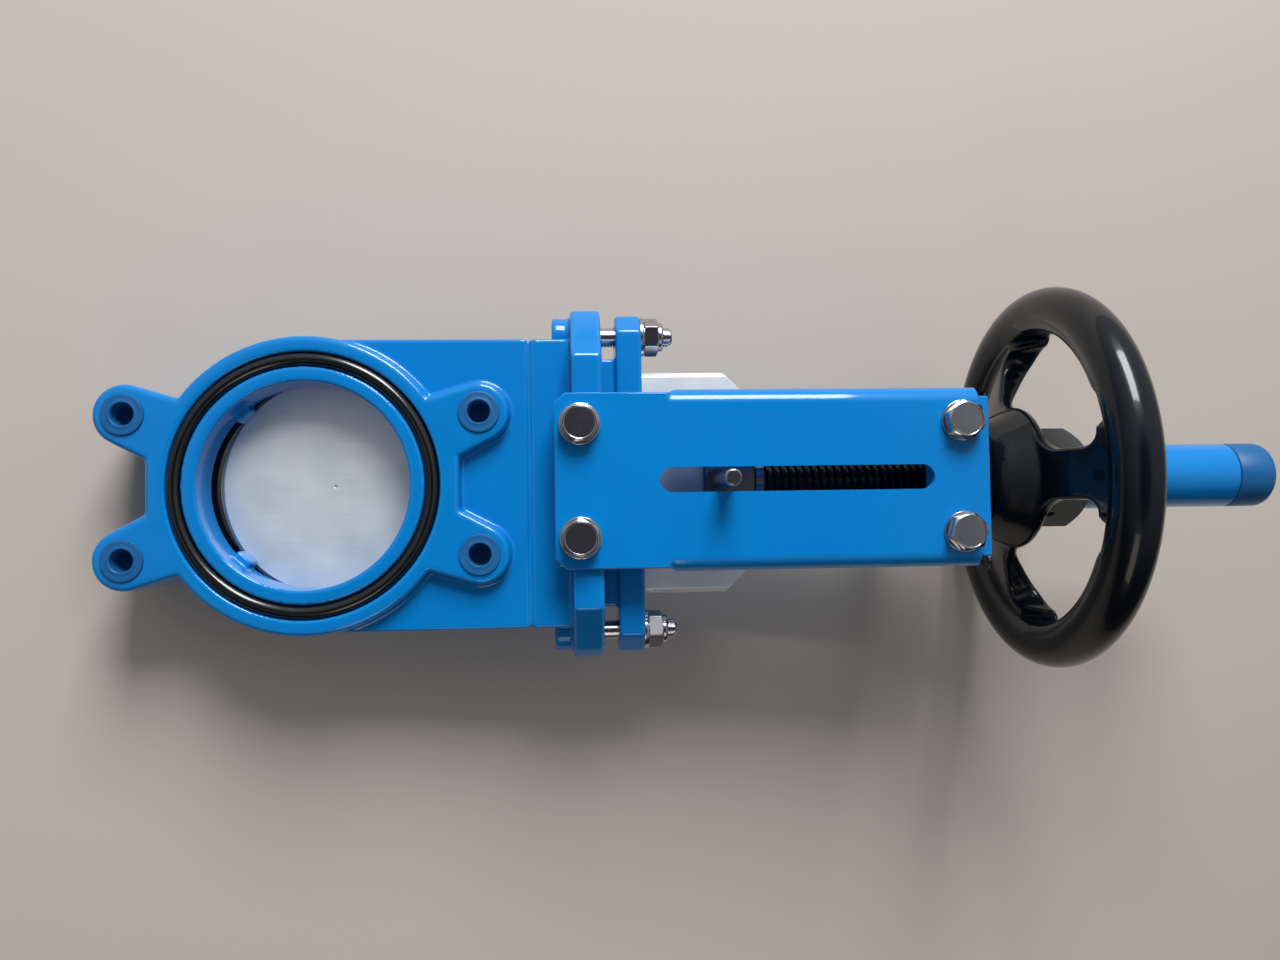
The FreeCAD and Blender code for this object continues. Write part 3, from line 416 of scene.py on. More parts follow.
# Oiled cast iron: charcoal with a rough skin.
DARK_IRON = RawCasting("oiled_grey_iron", "dark_casting", "#23282C", "#353B3F", (0.42, 0.6))
# Turned bronze: brown-gold, hardly seen but true where the nut shows.
BRONZE = TurnedBronze("turned_tin_bronze", "bronze", "#A67C45", "#8C6636", (0.28, 0.42),
                      metallic=1.0)
# Braided PTFE: off-white rope.
PACKING = BraidedPacking("braided_ptfe", "white_packing", "#D9D6CC", "#F0EEE8", (0.6, 0.75))


# ---- mesh tools


def depsgraph() -> bpy.types.Depsgraph:
    """The scene's dependency graph, brought up to date."""
    bpy.context.view_layer.update()
    return bpy.context.evaluated_depsgraph_get()


def linked(name: str, data: bpy.types.ID) -> Object:
    """A new object of a mesh, a light or a camera, in the scene."""
    made = bpy.data.objects.new(name, data)
    bpy.context.scene.collection.objects.link(made)
    return made


def baked(piece: Object) -> Object:
    """Turns a piece with live modifiers into a plain mesh and returns the same piece."""
    graph = depsgraph()
    mesh = bpy.data.meshes.new_from_object(piece.evaluated_get(graph), depsgraph=graph)
    old = piece.data
    piece.modifiers.clear()
    piece.data = mesh
    if old.users == 0:
        bpy.data.meshes.remove(old)
    return piece


def merged_mesh(nodes: Sequence[str], flat_angle: float | None = 1.0) -> Mesh:
    """Copies CAD nodes into one mesh whose points are shared.

    Args:
        nodes: the CAD nodes.
        flat_angle: faces that meet at fewer degrees are dissolved, or None to keep all.

    Returns:
        The merged mesh.
    """
    work = bmesh.new()
    for node in nodes:
        work.from_mesh(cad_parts[node].data)
    bmesh.ops.remove_doubles(work, verts=work.verts, dist=MERGE)
    if flat_angle is not None:
        bmesh.ops.dissolve_limit(work, angle_limit=math.radians(flat_angle), verts=work.verts,
                                 edges=work.edges)
    mesh = bpy.data.meshes.new("_".join(nodes)[:50])
    work.to_mesh(mesh)
    work.free()
    for name in [a.name for a in mesh.attributes if a.name == "custom_normal"]:
        mesh.attributes.remove(mesh.attributes[name])
    return mesh


def smooth_by_angle(mesh: Mesh, degrees: float) -> None:
    """Shades a mesh smooth, with edges sharper than an angle kept hard."""
    mesh.shade_smooth()
    mesh.set_sharp_from_angle(angle=math.radians(degrees))


def relax(mesh: Mesh, rounds: int, pull: float = 0.5) -> None:
    """Moves every point towards the middle of its neighbours, which rounds the edges a little.

    Args:
        mesh: the mesh, evenly divided.
        rounds: how many times.
        pull: how far along the way each time.
    """
    count = len(mesh.vertices)
    points = np.zeros(count * 3)
    mesh.vertices.foreach_get("co", points)
    points = points.reshape(-1, 3)
    edges = np.zeros(len(mesh.edges) * 2, dtype=np.int64)
    mesh.edges.foreach_get("vertices", edges)
    first, second = edges.reshape(-1, 2).T
    degree = np.maximum(np.bincount(edges, minlength=count), 1)
    for _ in range(rounds):
        total = np.empty_like(points)
        for axis in range(3):
            column = points[:, axis]
            total[:, axis] = (np.bincount(first, column[second], count)
                              + np.bincount(second, column[first], count))
        points += pull * (total / degree[:, None] - points)
    mesh.vertices.foreach_set("co", points.ravel())
    mesh.update()


def cast_round(piece: Object, voxel: float, rounds: int, triangles: int) -> Object:
    """Remeshes a closed piece evenly and rounds its edges and inner corners, as on a casting.

    Args:
        piece: the object with one or more overlapping closed shells.
        voxel: the remesh size in millimetres.
        rounds: how often the points are relaxed.
        triangles: the most triangles it may keep.

    Returns:
        The same object.
    """
    remesh = piece.modifiers.new("even", "REMESH")
    remesh.mode = "VOXEL"
    remesh.voxel_size = voxel * MM
    baked(piece)
    relax(piece.data, rounds)
    faces = 2 * len(piece.data.polygons)
    if faces > triangles:
        thin = piece.modifiers.new("thin", "DECIMATE")
        thin.ratio = triangles / faces
        baked(piece)
    piece.data.shade_smooth()
    return piece


def bevelled(piece: Object, width: float, segments: int = 2, angle: float = 32.0) -> Object:
    """Rounds the sharp edges of a clean piece.

    Args:
        piece: the object.
        width: the bevel in millimetres.
        segments: how many facets the round has.
        angle: edges that turn by more degrees than this are rounded.

    Returns:
        The same object.
    """
    round_off = piece.modifiers.new("round", "BEVEL")
    round_off.width = width * MM
    round_off.segments = segments
    round_off.limit_method = "ANGLE"
    round_off.angle_limit = math.radians(angle)
    round_off.miter_outer = "MITER_ARC"
    weigh = piece.modifiers.new("flats", "WEIGHTED_NORMAL")
    weigh.weight = 80
    baked(piece)
    return piece


def islands(node: str) -> list[tuple[Vector, Vector]]:
    """Finds the separate solids of a CAD node.

    Args:
        node: the node's name.

    Returns:
        The lowest and highest corner of each solid, ordered by Y, then X, then Z.
    """
    work = bmesh.new()
    work.from_mesh(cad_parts[node].data)
    bmesh.ops.remove_doubles(work, verts=work.verts, dist=MERGE)
    left = set(work.verts)
    boxes = []
    while left:
        patch, queue = set(), [left.pop()]
        while queue:
            point = queue.pop()
            patch.add(point)
            for edge in point.link_edges:
                other = edge.other_vert(point)
                if other in left:
                    left.discard(other)
                    queue.append(other)
        corners = [Vector(pick(p.co[i] for p in patch) for i in range(3)) for pick in (min, max)]
        boxes.append((corners[0], corners[1]))
    work.free()
    return sorted(boxes, key=lambda b: (round(b[0].y, 4), round(b[0].x, 4), round(b[0].z, 4)))


def ringed_mesh(name: str, rings: Sequence[np.ndarray], close_first: bool = True,
                close_last: bool = True) -> Mesh:
    """Joins closed rings of points into a skin.

    Args:
        name: the mesh's name.
        rings: arrays of equal length, one row per point, each ring turning the same way.
        close_first: whether the first ring gets a lid.
        close_last: whether the last ring gets a lid.

    Returns:
        The mesh, with its normals outward.
    """
    count = len(rings[0])
    points = np.concatenate(rings)
    faces = []
    for ring in range(len(rings) - 1):
        low, high = ring * count, (ring + 1) * count
        faces += [(low + i, low + (i + 1) % count, high + (i + 1) % count, high + i)
                  for i in range(count)]
    if close_first:
        faces.append(tuple(reversed(range(count))))
    if close_last:
        faces.append(tuple(range((len(rings) - 1) * count, len(rings) * count)))
    mesh = bpy.data.meshes.new(name)
    mesh.from_pydata(points.tolist(), [], faces)
    mend(mesh)
    return mesh


def mend(mesh: Mesh) -> None:
    """Merges doubled points, drops faces with no area and turns the normals outward."""
    work = bmesh.new()
    work.from_mesh(mesh)
    bmesh.ops.remove_doubles(work, verts=work.verts, dist=1e-7)
    bmesh.ops.dissolve_degenerate(work, edges=work.edges, dist=1e-7)
    bmesh.ops.recalc_face_normals(work, faces=work.faces)
    work.to_mesh(mesh)
    work.free()


def lathe_rings(profile: Sequence[Span], steps: int) -> list[np.ndarray]:
    """Turns a profile round Z.

    Args:
        profile: (radius, height) in millimetres.
        steps: how many points a ring has.

    Returns:
        The rings, in metres.
    """
    angle = np.linspace(0, 2 * math.pi, steps, endpoint=False)
    return [polar(radius, angle, height) for radius, height in profile]


def torus_rings(ring: float, cord: float, height: float, steps: int,
                sides: int) -> list[np.ndarray]:
    """Sweeps a circle round Z; sizes in millimetres.

    Args:
        ring: the radius of the circle's path.
        cord: the circle's radius.
        height: the path's height.
        steps: how many sections go round.
        sides: how many points a section has.

    Returns:
        The sections in metres, the last one on the first.
    """
    section = np.linspace(0, 2 * math.pi, sides, endpoint=False)
    return [polar(ring + cord * np.cos(section), angle, height + cord * np.sin(section))
            for angle in np.linspace(0, 2 * math.pi, steps + 1)]


def carve(piece: Object, name: str, cutter: Object) -> None:
    """Cuts one piece out of another; the cutter is used up."""
    cut = piece.modifiers.new(name, "BOOLEAN")
    cut.operation = "DIFFERENCE"
    cut.object = cutter
    baked(piece)
    bpy.data.objects.remove(cutter)


def dressed(piece: Object, finish: Finish, body: Body, *replaced: str) -> Object:
    """Gives a finished piece its material and body, and hides the CAD nodes it stands for.

    Args:
        piece: the object, at the origin with its place in its mesh.
        finish: what it is made of.
        body: what it rides on.
        replaced: the CAD nodes that it replaces.

    Returns:
        The same object.
    """
    piece.data.materials.clear()
    piece.data.materials.append(finish.material())
    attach(piece, body.value)
    if replaced:
        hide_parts(*replaced)
    LOG.info("%s: %d faces, %s, on %s", piece.name, len(piece.data.polygons), finish.name,
             body.value)
    return piece


def machined(node: str, made: str, finish: Finish, body: Body, edge: float, segments: int = 2,
             flat_angle: float = 0.5) -> None:
    """Takes a clean CAD node over as it is and rounds its sharp edges.

    Args:
        node: the CAD node.
        made: how it was made, the last word of the new piece's name.
        finish: what it is made of.
        body: what it rides on.
        edge: the round in millimetres.
        segments: how many facets the round has.
        flat_angle: faces that meet at less than this many degrees are dissolved first.
    """
    piece = linked(f"{node}_{made}", merged_mesh([node], flat_angle))
    dressed(bevelled(piece, edge, segments), finish, body, node)


def carried(node: str, finish: Finish) -> None:
    """Gives a CAD node that stays as it is its finish."""
    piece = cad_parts[node]
    piece.data.materials.clear()
    piece.data.materials.append(finish.material())
    LOG.info("%s stays, in %s", node, finish.name)


# ---- geometry nodes


class NodeRecipe:
    """A Geometry Nodes tree with named inputs that ends in real geometry of one material."""

    def __init__(self, name: str, inputs: Mapping[str, str]) -> None:
        """Makes the tree and its sockets.

        Args:
            name: the tree's name.
            inputs: each input's name and socket type.
        """
        self.tree = bpy.data.node_groups.new(name, "GeometryNodeTree")
        face = self.tree.interface
        face.new_socket("Geometry", in_out="OUTPUT", socket_type="NodeSocketGeometry")
        face.new_socket("Geometry", in_out="INPUT", socket_type="NodeSocketGeometry")
        for label, kind in (dict(inputs) | {"Finish": "NodeSocketMaterial"}).items():
            face.new_socket(label, in_out="INPUT", socket_type=kind)
        self.given = add_node(self.tree, "NodeGroupInput").outputs

    def end(self, geometry: Socket) -> None:
        """Realises the instances, sets the material and closes the tree."""
        real = add_node(self.tree, "GeometryNodeRealizeInstances", None, {"Geometry": geometry})
        tinted = add_node(self.tree, "GeometryNodeSetMaterial", None,
                          {"Geometry": real.outputs[0], "Material": self.given["Finish"]})
        add_node(self.tree, "NodeGroupOutput", None, {"Geometry": tinted.outputs[0]})

    def run(self, name: str, seed_mesh: Mesh, values: Mapping[str, Any]) -> Object:
        """Evaluates the tree once.

        Args:
            name: the new piece's name.
            seed_mesh: what goes into the tree's geometry input.
            values: the inputs by name.

        Returns:
            A plain mesh object.
        """
        piece = linked(name, seed_mesh)
        modifier = piece.modifiers.new("recipe", "NODES")
        modifier.node_group = self.tree
        sockets = {item.name: item.identifier for item in self.tree.interface.items_tree
                   if item.in_out == "INPUT"}
        for label, value in values.items():
            modifier[sockets[label]] = value
        return baked(piece)


def scatter_recipe() -> NodeRecipe:
    """A tree that sets one copy of a template on each point, turned as the point says."""
    recipe = NodeRecipe("template_on_points", {"Template": "NodeSocketObject"})
    tree, given = recipe.tree, recipe.given
    template = add_node(tree, "GeometryNodeObjectInfo", None, {"Object": given["Template"]})
    turn = add_node(tree, "GeometryNodeInputNamedAttribute",
                    {"data_type": "FLOAT_VECTOR", "Name": "turn"})
    spin = add_node(tree, "FunctionNodeEulerToRotation", None, {0: turn.outputs[0]})
    copies = add_node(tree, "GeometryNodeInstanceOnPoints", None,
                      {"Points": given["Geometry"], "Instance": template.outputs["Geometry"],
                       "Rotation": spin.outputs[0]})
    recipe.end(copies.outputs[0])
    return recipe


def thread_recipe() -> NodeRecipe:
    """A tree that winds a trapezoid ridge round Z: the ridge of a screw thread."""
    sizes = ("Turns", "Length", "Middle Radius", "Depth", "Root Width", "Crest Width")
    recipe = NodeRecipe("thread_ridge", dict.fromkeys(sizes, "NodeSocketFloat") | {
        "Left Hand": "NodeSocketBool", "Start": "NodeSocketVector", "Steps": "NodeSocketInt"})
    tree, given = recipe.tree, recipe.given
    path = add_node(tree, "GeometryNodeCurveSpiral", None, {
        "Resolution": given["Steps"], "Rotations": given["Turns"], "Height": given["Length"],
        "Start Radius": given["Middle Radius"], "End Radius": given["Middle Radius"],
        "Reverse": given["Left Hand"]})
    upright = add_node(tree, "GeometryNodeSetCurveNormal", {"mode": "Z_UP"},
                       {"Curve": path.outputs[0]})
    section = add_node(tree, "GeometryNodeCurvePrimitiveQuadrilateral",
                       {"mode": "TRAPEZOID", "Offset": 0.0},
                       {"Height": given["Depth"], "Bottom Width": given["Root Width"],
                        "Top Width": given["Crest Width"]})
    laid = add_node(tree, "GeometryNodeTransform", {"Rotation": (0, 0, math.radians(-90))},
                    {"Geometry": section.outputs[0]})
    swept = add_node(tree, "GeometryNodeCurveToMesh", {"Fill Caps": True},
                     {"Curve": upright.outputs[0], "Profile Curve": laid.outputs[0]})
    moved = add_node(tree, "GeometryNodeTransform", None,
                     {"Geometry": swept.outputs[0], "Translation": given["Start"]})
    recipe.end(moved.outputs[0])
    return recipe


SCATTER = scatter_recipe()
THREAD = thread_recipe()
SUNK = 0.25  # how far a thread's ridge reaches into its core, in millimetres
ROOT_SHARE, CREST_SHARE = 0.70, 0.36  # the ridge's widths as shares of the pitch


def point_cloud(name: str, places: Sequence[Vector], turns: Sequence[Matrix]) -> Mesh:
    """Loose points, in metres, that each carry the turn of what goes there."""
    mesh = bpy.data.meshes.new(name)
    mesh.from_pydata([tuple(p) for p in places], [], [])
    angles = mesh.attributes.new("turn", "FLOAT_VECTOR", "POINT")
    angles.data.foreach_set("vector", [a for t in turns for a in t.to_3x3().to_euler("XYZ")])
    return mesh


def scattered(name: str, template: Mesh, places: Sequence[Vector], turns: Sequence[Matrix],
              finish: Finish) -> Object:
    """Sets copies of a template on places.

    Args:
        name: the piece's name.
        template: the mesh to copy.
        places: where the copies' origins go.
        turns: how each is turned.
        finish: what they are made of.

    Returns:
        One plain mesh object with all the copies.
    """
    model = linked(f"{name}_template", template)
    piece = SCATTER.run(name, point_cloud(name, places, turns), {"Template": model,
                                                                 "Finish": finish.material()})
    bpy.data.objects.remove(model)
    return piece


def ridge(name: str, finish: Finish, pitch: float, major: float, depth: float, low: float,
          high: float, left_hand: bool = False, centre: Span = (0, 0)) -> Object:
    """Winds one screw thread's ridge; sizes in millimetres.

    Args:
        name: the piece's name.
        finish: what it is made of.
        pitch: the rise of one turn.
        major: the crest's radius.
        depth: from the crest to the root, sunk a little into the core.
        low: where the ridge starts along Z.
        high: where it ends.
        left_hand: whether it winds the other way.
        centre: the axis's X and Y.

    Returns:
        The ridge as a plain mesh object.
    """
    tall, long = depth + SUNK, high - low
    return THREAD.run(name, bpy.data.meshes.new(name), {
        "Turns": long / pitch, "Length": long * MM, "Middle Radius": (major - tall / 2) * MM,
        "Depth": tall * MM, "Root Width": ROOT_SHARE * pitch * MM,
        "Crest Width": CREST_SHARE * pitch * MM, "Left Hand": left_hand,
        "Start": (centre[0] * MM, centre[1] * MM, low * MM), "Steps": 40 if FINE else 20,
        "Finish": finish.material()})


def joined(name: str, pieces: Sequence[Object]) -> Object:
    """Joins pieces into one object of separate closed shells; the pieces are used up."""
    work = bmesh.new()
    for piece in pieces:
        work.from_mesh(piece.data)
        bpy.data.objects.remove(piece)
    mesh = bpy.data.meshes.new(name)
    work.to_mesh(mesh)
    work.free()
    return linked(name, mesh)


# ---- fasteners


@dataclass(frozen=True)
class HexForm:
    """A hexagon with a turned 30 degree chamfer; sizes in millimetres."""

    flats: float
    tall: float
    face_tall: float = 0.4
    steps: int = 72

    def side(self) -> np.ndarray:
        """The hexagon's radius at each step round it."""
        angle = np.arange(self.steps) * 2 * math.pi / self.steps
        return self.flats / 2 / np.cos((angle + math.pi / 6) % (math.pi / 3) - math.pi / 6)

    def ring(self, radius: Values, height: Values) -> np.ndarray:
        """One ring of points, in metres."""
        return polar(radius, np.arange(self.steps) * 2 * math.pi / self.steps, height)

    def flank(self) -> list[np.ndarray]:
        """The rings from the washer face up over the chamfer's curved edge to the top circle."""
        top, foot = 0.475 * self.flats, 0.465 * self.flats
        side = self.side()
        edge = self.tall - np.maximum(side - top, 0) * math.tan(math.radians(30))
        return [self.ring(foot, 0), self.ring(foot, self.face_tall),
                self.ring(side, self.face_tall), self.ring(side, edge), self.ring(top, self.tall)]


@dataclass
class HexBolt:
    """A hexagon head bolt, head up, with its shank below."""

    head: HexForm
    shank: float
    long: float
    dish: float = 0.15
    edge: float = 0.22

    def mesh(self) -> Mesh:
        """Builds the head with a shallow dished top, its washer face at Z 0, and the shank."""
        form = self.head
        rim = 0.44 * form.flats
        rings = [form.ring(self.shank - 0.6, -self.long), form.ring(self.shank, -self.long + 0.6),
                 form.ring(self.shank, 0), *form.flank(), form.ring(rim, form.tall),
                 form.ring(rim - self.dish, form.tall - self.dish)]
        return rounded_template(ringed_mesh("bolt", rings), self.edge)


@dataclass
class LockNut:
    """A hexagon nut with a rolled collar over a nylon ring."""

    body: HexForm
    bore: float
    collar: float
    collar_tall: float
    edge: float = 0.2

    def mesh(self) -> Mesh:
        """Builds the nut with its collar, standing on Z 0."""
        form = self.body
        top = form.tall + self.collar_tall
        rings = [form.ring(self.bore, 0.5), form.ring(self.bore + 0.5, 0), *form.flank(),
                 form.ring(self.collar, form.tall), form.ring(self.collar, top - 1.1),
                 form.ring(self.collar - 0.4, top - 0.35), form.ring(self.collar - 1.1, top),
                 form.ring(self.collar - 1.8, top - 0.1), form.ring(self.bore + 0.1, top - 0.6),
                 form.ring(self.bore, top - 0.7), form.ring(self.bore, 0.5)]
        return rounded_template(ringed_mesh("nut", rings, False, False), self.edge)


@dataclass(frozen=True)
class PlainWasher:
    """A stamped washer with one rounded side."""

    outer: float
    inner: float
    thick: float

    def mesh(self) -> Mesh:
        """Builds the washer, standing on Z 0."""
        soft = 0.35
        inner, outer, thick = self.inner, self.outer, self.thick
        profile = [(inner, 0), (outer - 0.1, 0), (outer, 0.1), (outer, thick - soft),
                   (outer - 0.12, thick - 0.1), (outer - soft, thick), (inner, thick), (inner, 0)]
        mesh = ringed_mesh("washer", lathe_rings(profile, 72), False, False)
        smooth_by_angle(mesh, 40)
        return mesh


M10_WASHER = PlainWasher(outer=10.0, inner=5.5, thick=2.0)


def rounded_template(mesh: Mesh, width: float) -> Mesh:
    """Rounds a template's edges by a width in millimetres."""
    piece = linked("template_blank", mesh)
    bevelled(piece, width, 2, 26.0)
    done = piece.data
    bpy.data.objects.remove(piece)
    return done


def outward(side: Side, spin: float) -> Matrix:
    """The turn that points a template's top out of a side, after a spin in degrees about itself."""
    lean = Matrix.Rotation(math.radians(90 if side is Side.FRONT else -90), 3, "X")
    return lean @ Matrix.Rotation(math.radians(spin), 3, "Z")


@dataclass
class YokeFasteners:
    """The yoke's bolts and washers, placed where their CAD solids are."""

    flats: float = 17.0
    head_tall: float = 6.4
    shank: float = 5.0
    long: float = 20.0
    lower_turns: tuple[float, ...] = (8, 31, 20, 44)
    upper_turns: tuple[float, ...] = (40, 14, 27, 5)

    def build(self) -> None:
        """Builds the bolts and washers of both rows."""
        bolt = HexBolt(HexForm(self.flats, self.head_tall), self.shank, self.long).mesh()
        washer = M10_WASHER.mesh()
        for row, turns in (("lower", self.lower_turns), ("upper", self.upper_turns)):
            self.row(f"yoke_{row}_bolts", bolt, turns, self.head_tall)
            self.row(f"yoke_{row}_washers", washer, (0, 0, 0, 0), M10_WASHER.thick)

    def row(self, node: str, template: Mesh, turns: Sequence[float], above: float) -> None:
        """Sets one row of a template.

        Args:
            node: the CAD node that it replaces.
            template: the mesh, its top along +Z.
            turns: each one's spin in degrees.
            above: how far the template reaches above its own zero, in millimetres.
        """
        places, leans = [], []
        for (low, high), spin in zip(islands(node), turns):
            side = Side.FRONT if low.y + high.y < 0 else Side.BACK
            tip = low.y if side is Side.FRONT else high.y
            middle = (low + high) / 2
            places.append(Vector((middle.x, tip - side.value * above * MM, middle.z)))
            leans.append(outward(side, spin))
        piece = scattered(f"{node}_bright", template, places, leans, BRIGHT_STEEL)
        dressed(piece, BRIGHT_STEEL, Body.FRAME, node)


@dataclass
class GlandFasteners:
    """Studs with real threads, washers and lock nuts that press the gland."""

    pitch: float = 1.5
    major: float = 5.0
    depth: float = 0.92
    run_out: Span = (1.2, 1.5)
    nut_flats: float = 17.0
    nut_tall: float = 7.5
    collar: float = 7.4
    collar_tall: float = 2.5
    turns: tuple[float, ...] = (12, 36)

    def build(self) -> None:
        """Builds the studs, washers and nuts of both sides."""
        nut = LockNut(HexForm(self.nut_flats, self.nut_tall), self.major + 0.05, self.collar,
                      self.collar_tall).mesh()
        self.stack("gland_nuts", nut, self.turns)
        self.stack("gland_washers", M10_WASHER.mesh(), (0, 0))
        parts = []
        for low, high in islands("gland_studs"):
            centre = tuple((low + high).xy / 2 / MM)
            bottom, top = low.z / MM, high.z / MM
            root = self.major - self.depth
            core = lathe_rings([(root - 0.4, bottom), (root, bottom + 0.4), (root, top - 0.9),
                                (root - 0.7, top)], 40)
            core = [ring + np.array([centre[0], centre[1], 0]) * MM for ring in core]
            parts.append(linked("stud_core", ringed_mesh("stud_core", core)))
            parts.append(ridge("stud_thread", BRIGHT_STEEL, self.pitch, self.major, self.depth,
                               bottom + self.run_out[0], top - self.run_out[1], centre=centre))
        piece = joined("gland_studs_threaded", parts)
        smooth_by_angle(piece.data, 35)
        dressed(piece, BRIGHT_STEEL, Body.FRAME, "gland_studs")

    def stack(self, node: str, template: Mesh, turns: Sequence[float]) -> None:
        """Sets a template at the foot of each solid of a node."""
        boxes = islands(node)
        places = [Vector((*((low + high) / 2).xy, low.z)) for low, high in boxes]
        spins = [Matrix.Rotation(math.radians(t), 3, "Z") for t in turns]
        dressed(scattered(f"{node}_bright", template, places, spins, BRIGHT_STEEL), BRIGHT_STEEL,
                Body.FRAME, node)


# ---- cast body and gland


@dataclass
class ValveBody:
    """The casting, its seals, seat, packing and gland."""

    voxel: float = 0.85
    rounds: int = 3
    triangles: int = 190_000
    follower_voxel: float = 0.7
    follower_triangles: int = 60_000
    ring_edge: float = 0.3

    def build(self) -> None:
        """Builds the casting and dresses what sits in it."""
        casting = linked("valve_body_cast", merged_mesh(["valve_body"], None))
        cast_round(casting, self.voxel if FINE else 1.3 * self.voxel, self.rounds, self.triangles)
        dressed(casting, CAST_PAINT, Body.FRAME, "valve_body")
        follower = linked("gland_follower_cast", merged_mesh(["gland_follower"], None))
        cast_round(follower, self.follower_voxel if FINE else 1.0, self.rounds,
                   self.follower_triangles)
        dressed(follower, CAST_PAINT, Body.FRAME, "gland_follower")
        for node in ("front_face_seal", "back_face_seal"):
            self.cord_ring(node)
        for node in ("seat_ring", "seat_retainer_ring"):
            finish = SEAL_RUBBER if node == "seat_ring" else GATE_STEEL
            machined(node, "turned", finish, Body.FRAME, self.ring_edge, flat_angle=1.0)
        carried("guide_strips", PACKING)
        for level in ("lower", "middle", "upper"):
            carried(f"packing_ring_{level}", PACKING)

    def cord_ring(self, node: str) -> None:
        """Makes one round O-ring about Y in place of a CAD node."""
        low, high = (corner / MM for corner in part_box(node))
        cord = (high.y - low.y) / 2
        ring = (high.x - low.x) / 2 - cord
        upright = torus_rings(ring, cord, (high.y + low.y) / 2, 240, 32)
        mesh = ringed_mesh(node, [section[:, (1, 2, 0)] for section in upright], False, False)
        mesh.shade_smooth()
        dressed(linked(f"{node}_moulded", mesh), SEAL_RUBBER, Body.FRAME, node)


@dataclass
class LugPlugs:
    """The four cupped plastic plugs in the front bolt holes."""

    flange: float = 10.0
    barrel: float = 6.9
    cup: float = 5.4
    deep: float = 13.0
    floor: float = 11.5
    proud: float = 1.3

    def build(self) -> None:
        """Builds one plug and sets four of it."""
        barrel, flange, cup = self.barrel, self.flange, self.cup
        deep, floor, proud = -self.deep, -self.floor, self.proud
        profile = [(barrel - 0.6, deep), (barrel, deep + 0.8), (barrel, -0.05),
                   (flange - 0.25, -0.05), (flange, 0.2), (flange, proud - 0.7),
                   (flange - 0.2, proud - 0.25), (flange - 0.8, proud - 0.05),
                   (flange - 1.6, proud - 0.2), (cup + 1.5, proud - 0.2), (cup + 1.0, proud),
                   (cup + 0.5, proud), (cup, proud - 0.5), (cup - 0.2, floor + 0.8),
                   (cup - 1.0, floor), (1.2, floor), (0.8, floor + 0.4)]
        mesh = ringed_mesh("plug", lathe_rings(profile, 64))
        smooth_by_angle(mesh, 38)
        boxes = islands("lug_plugs")
        places = [Vector(((low.x + high.x) / 2, low.y + self.proud * MM, (low.z + high.z) / 2))
                  for low, high in boxes]
        turns = [outward(Side.FRONT, 90 * i) for i in range(len(boxes))]
        dressed(scattered("lug_plugs_moulded", mesh, places, turns, DULL_PLASTIC), DULL_PLASTIC,
                Body.FRAME, "lug_plugs")


# ---- yoke


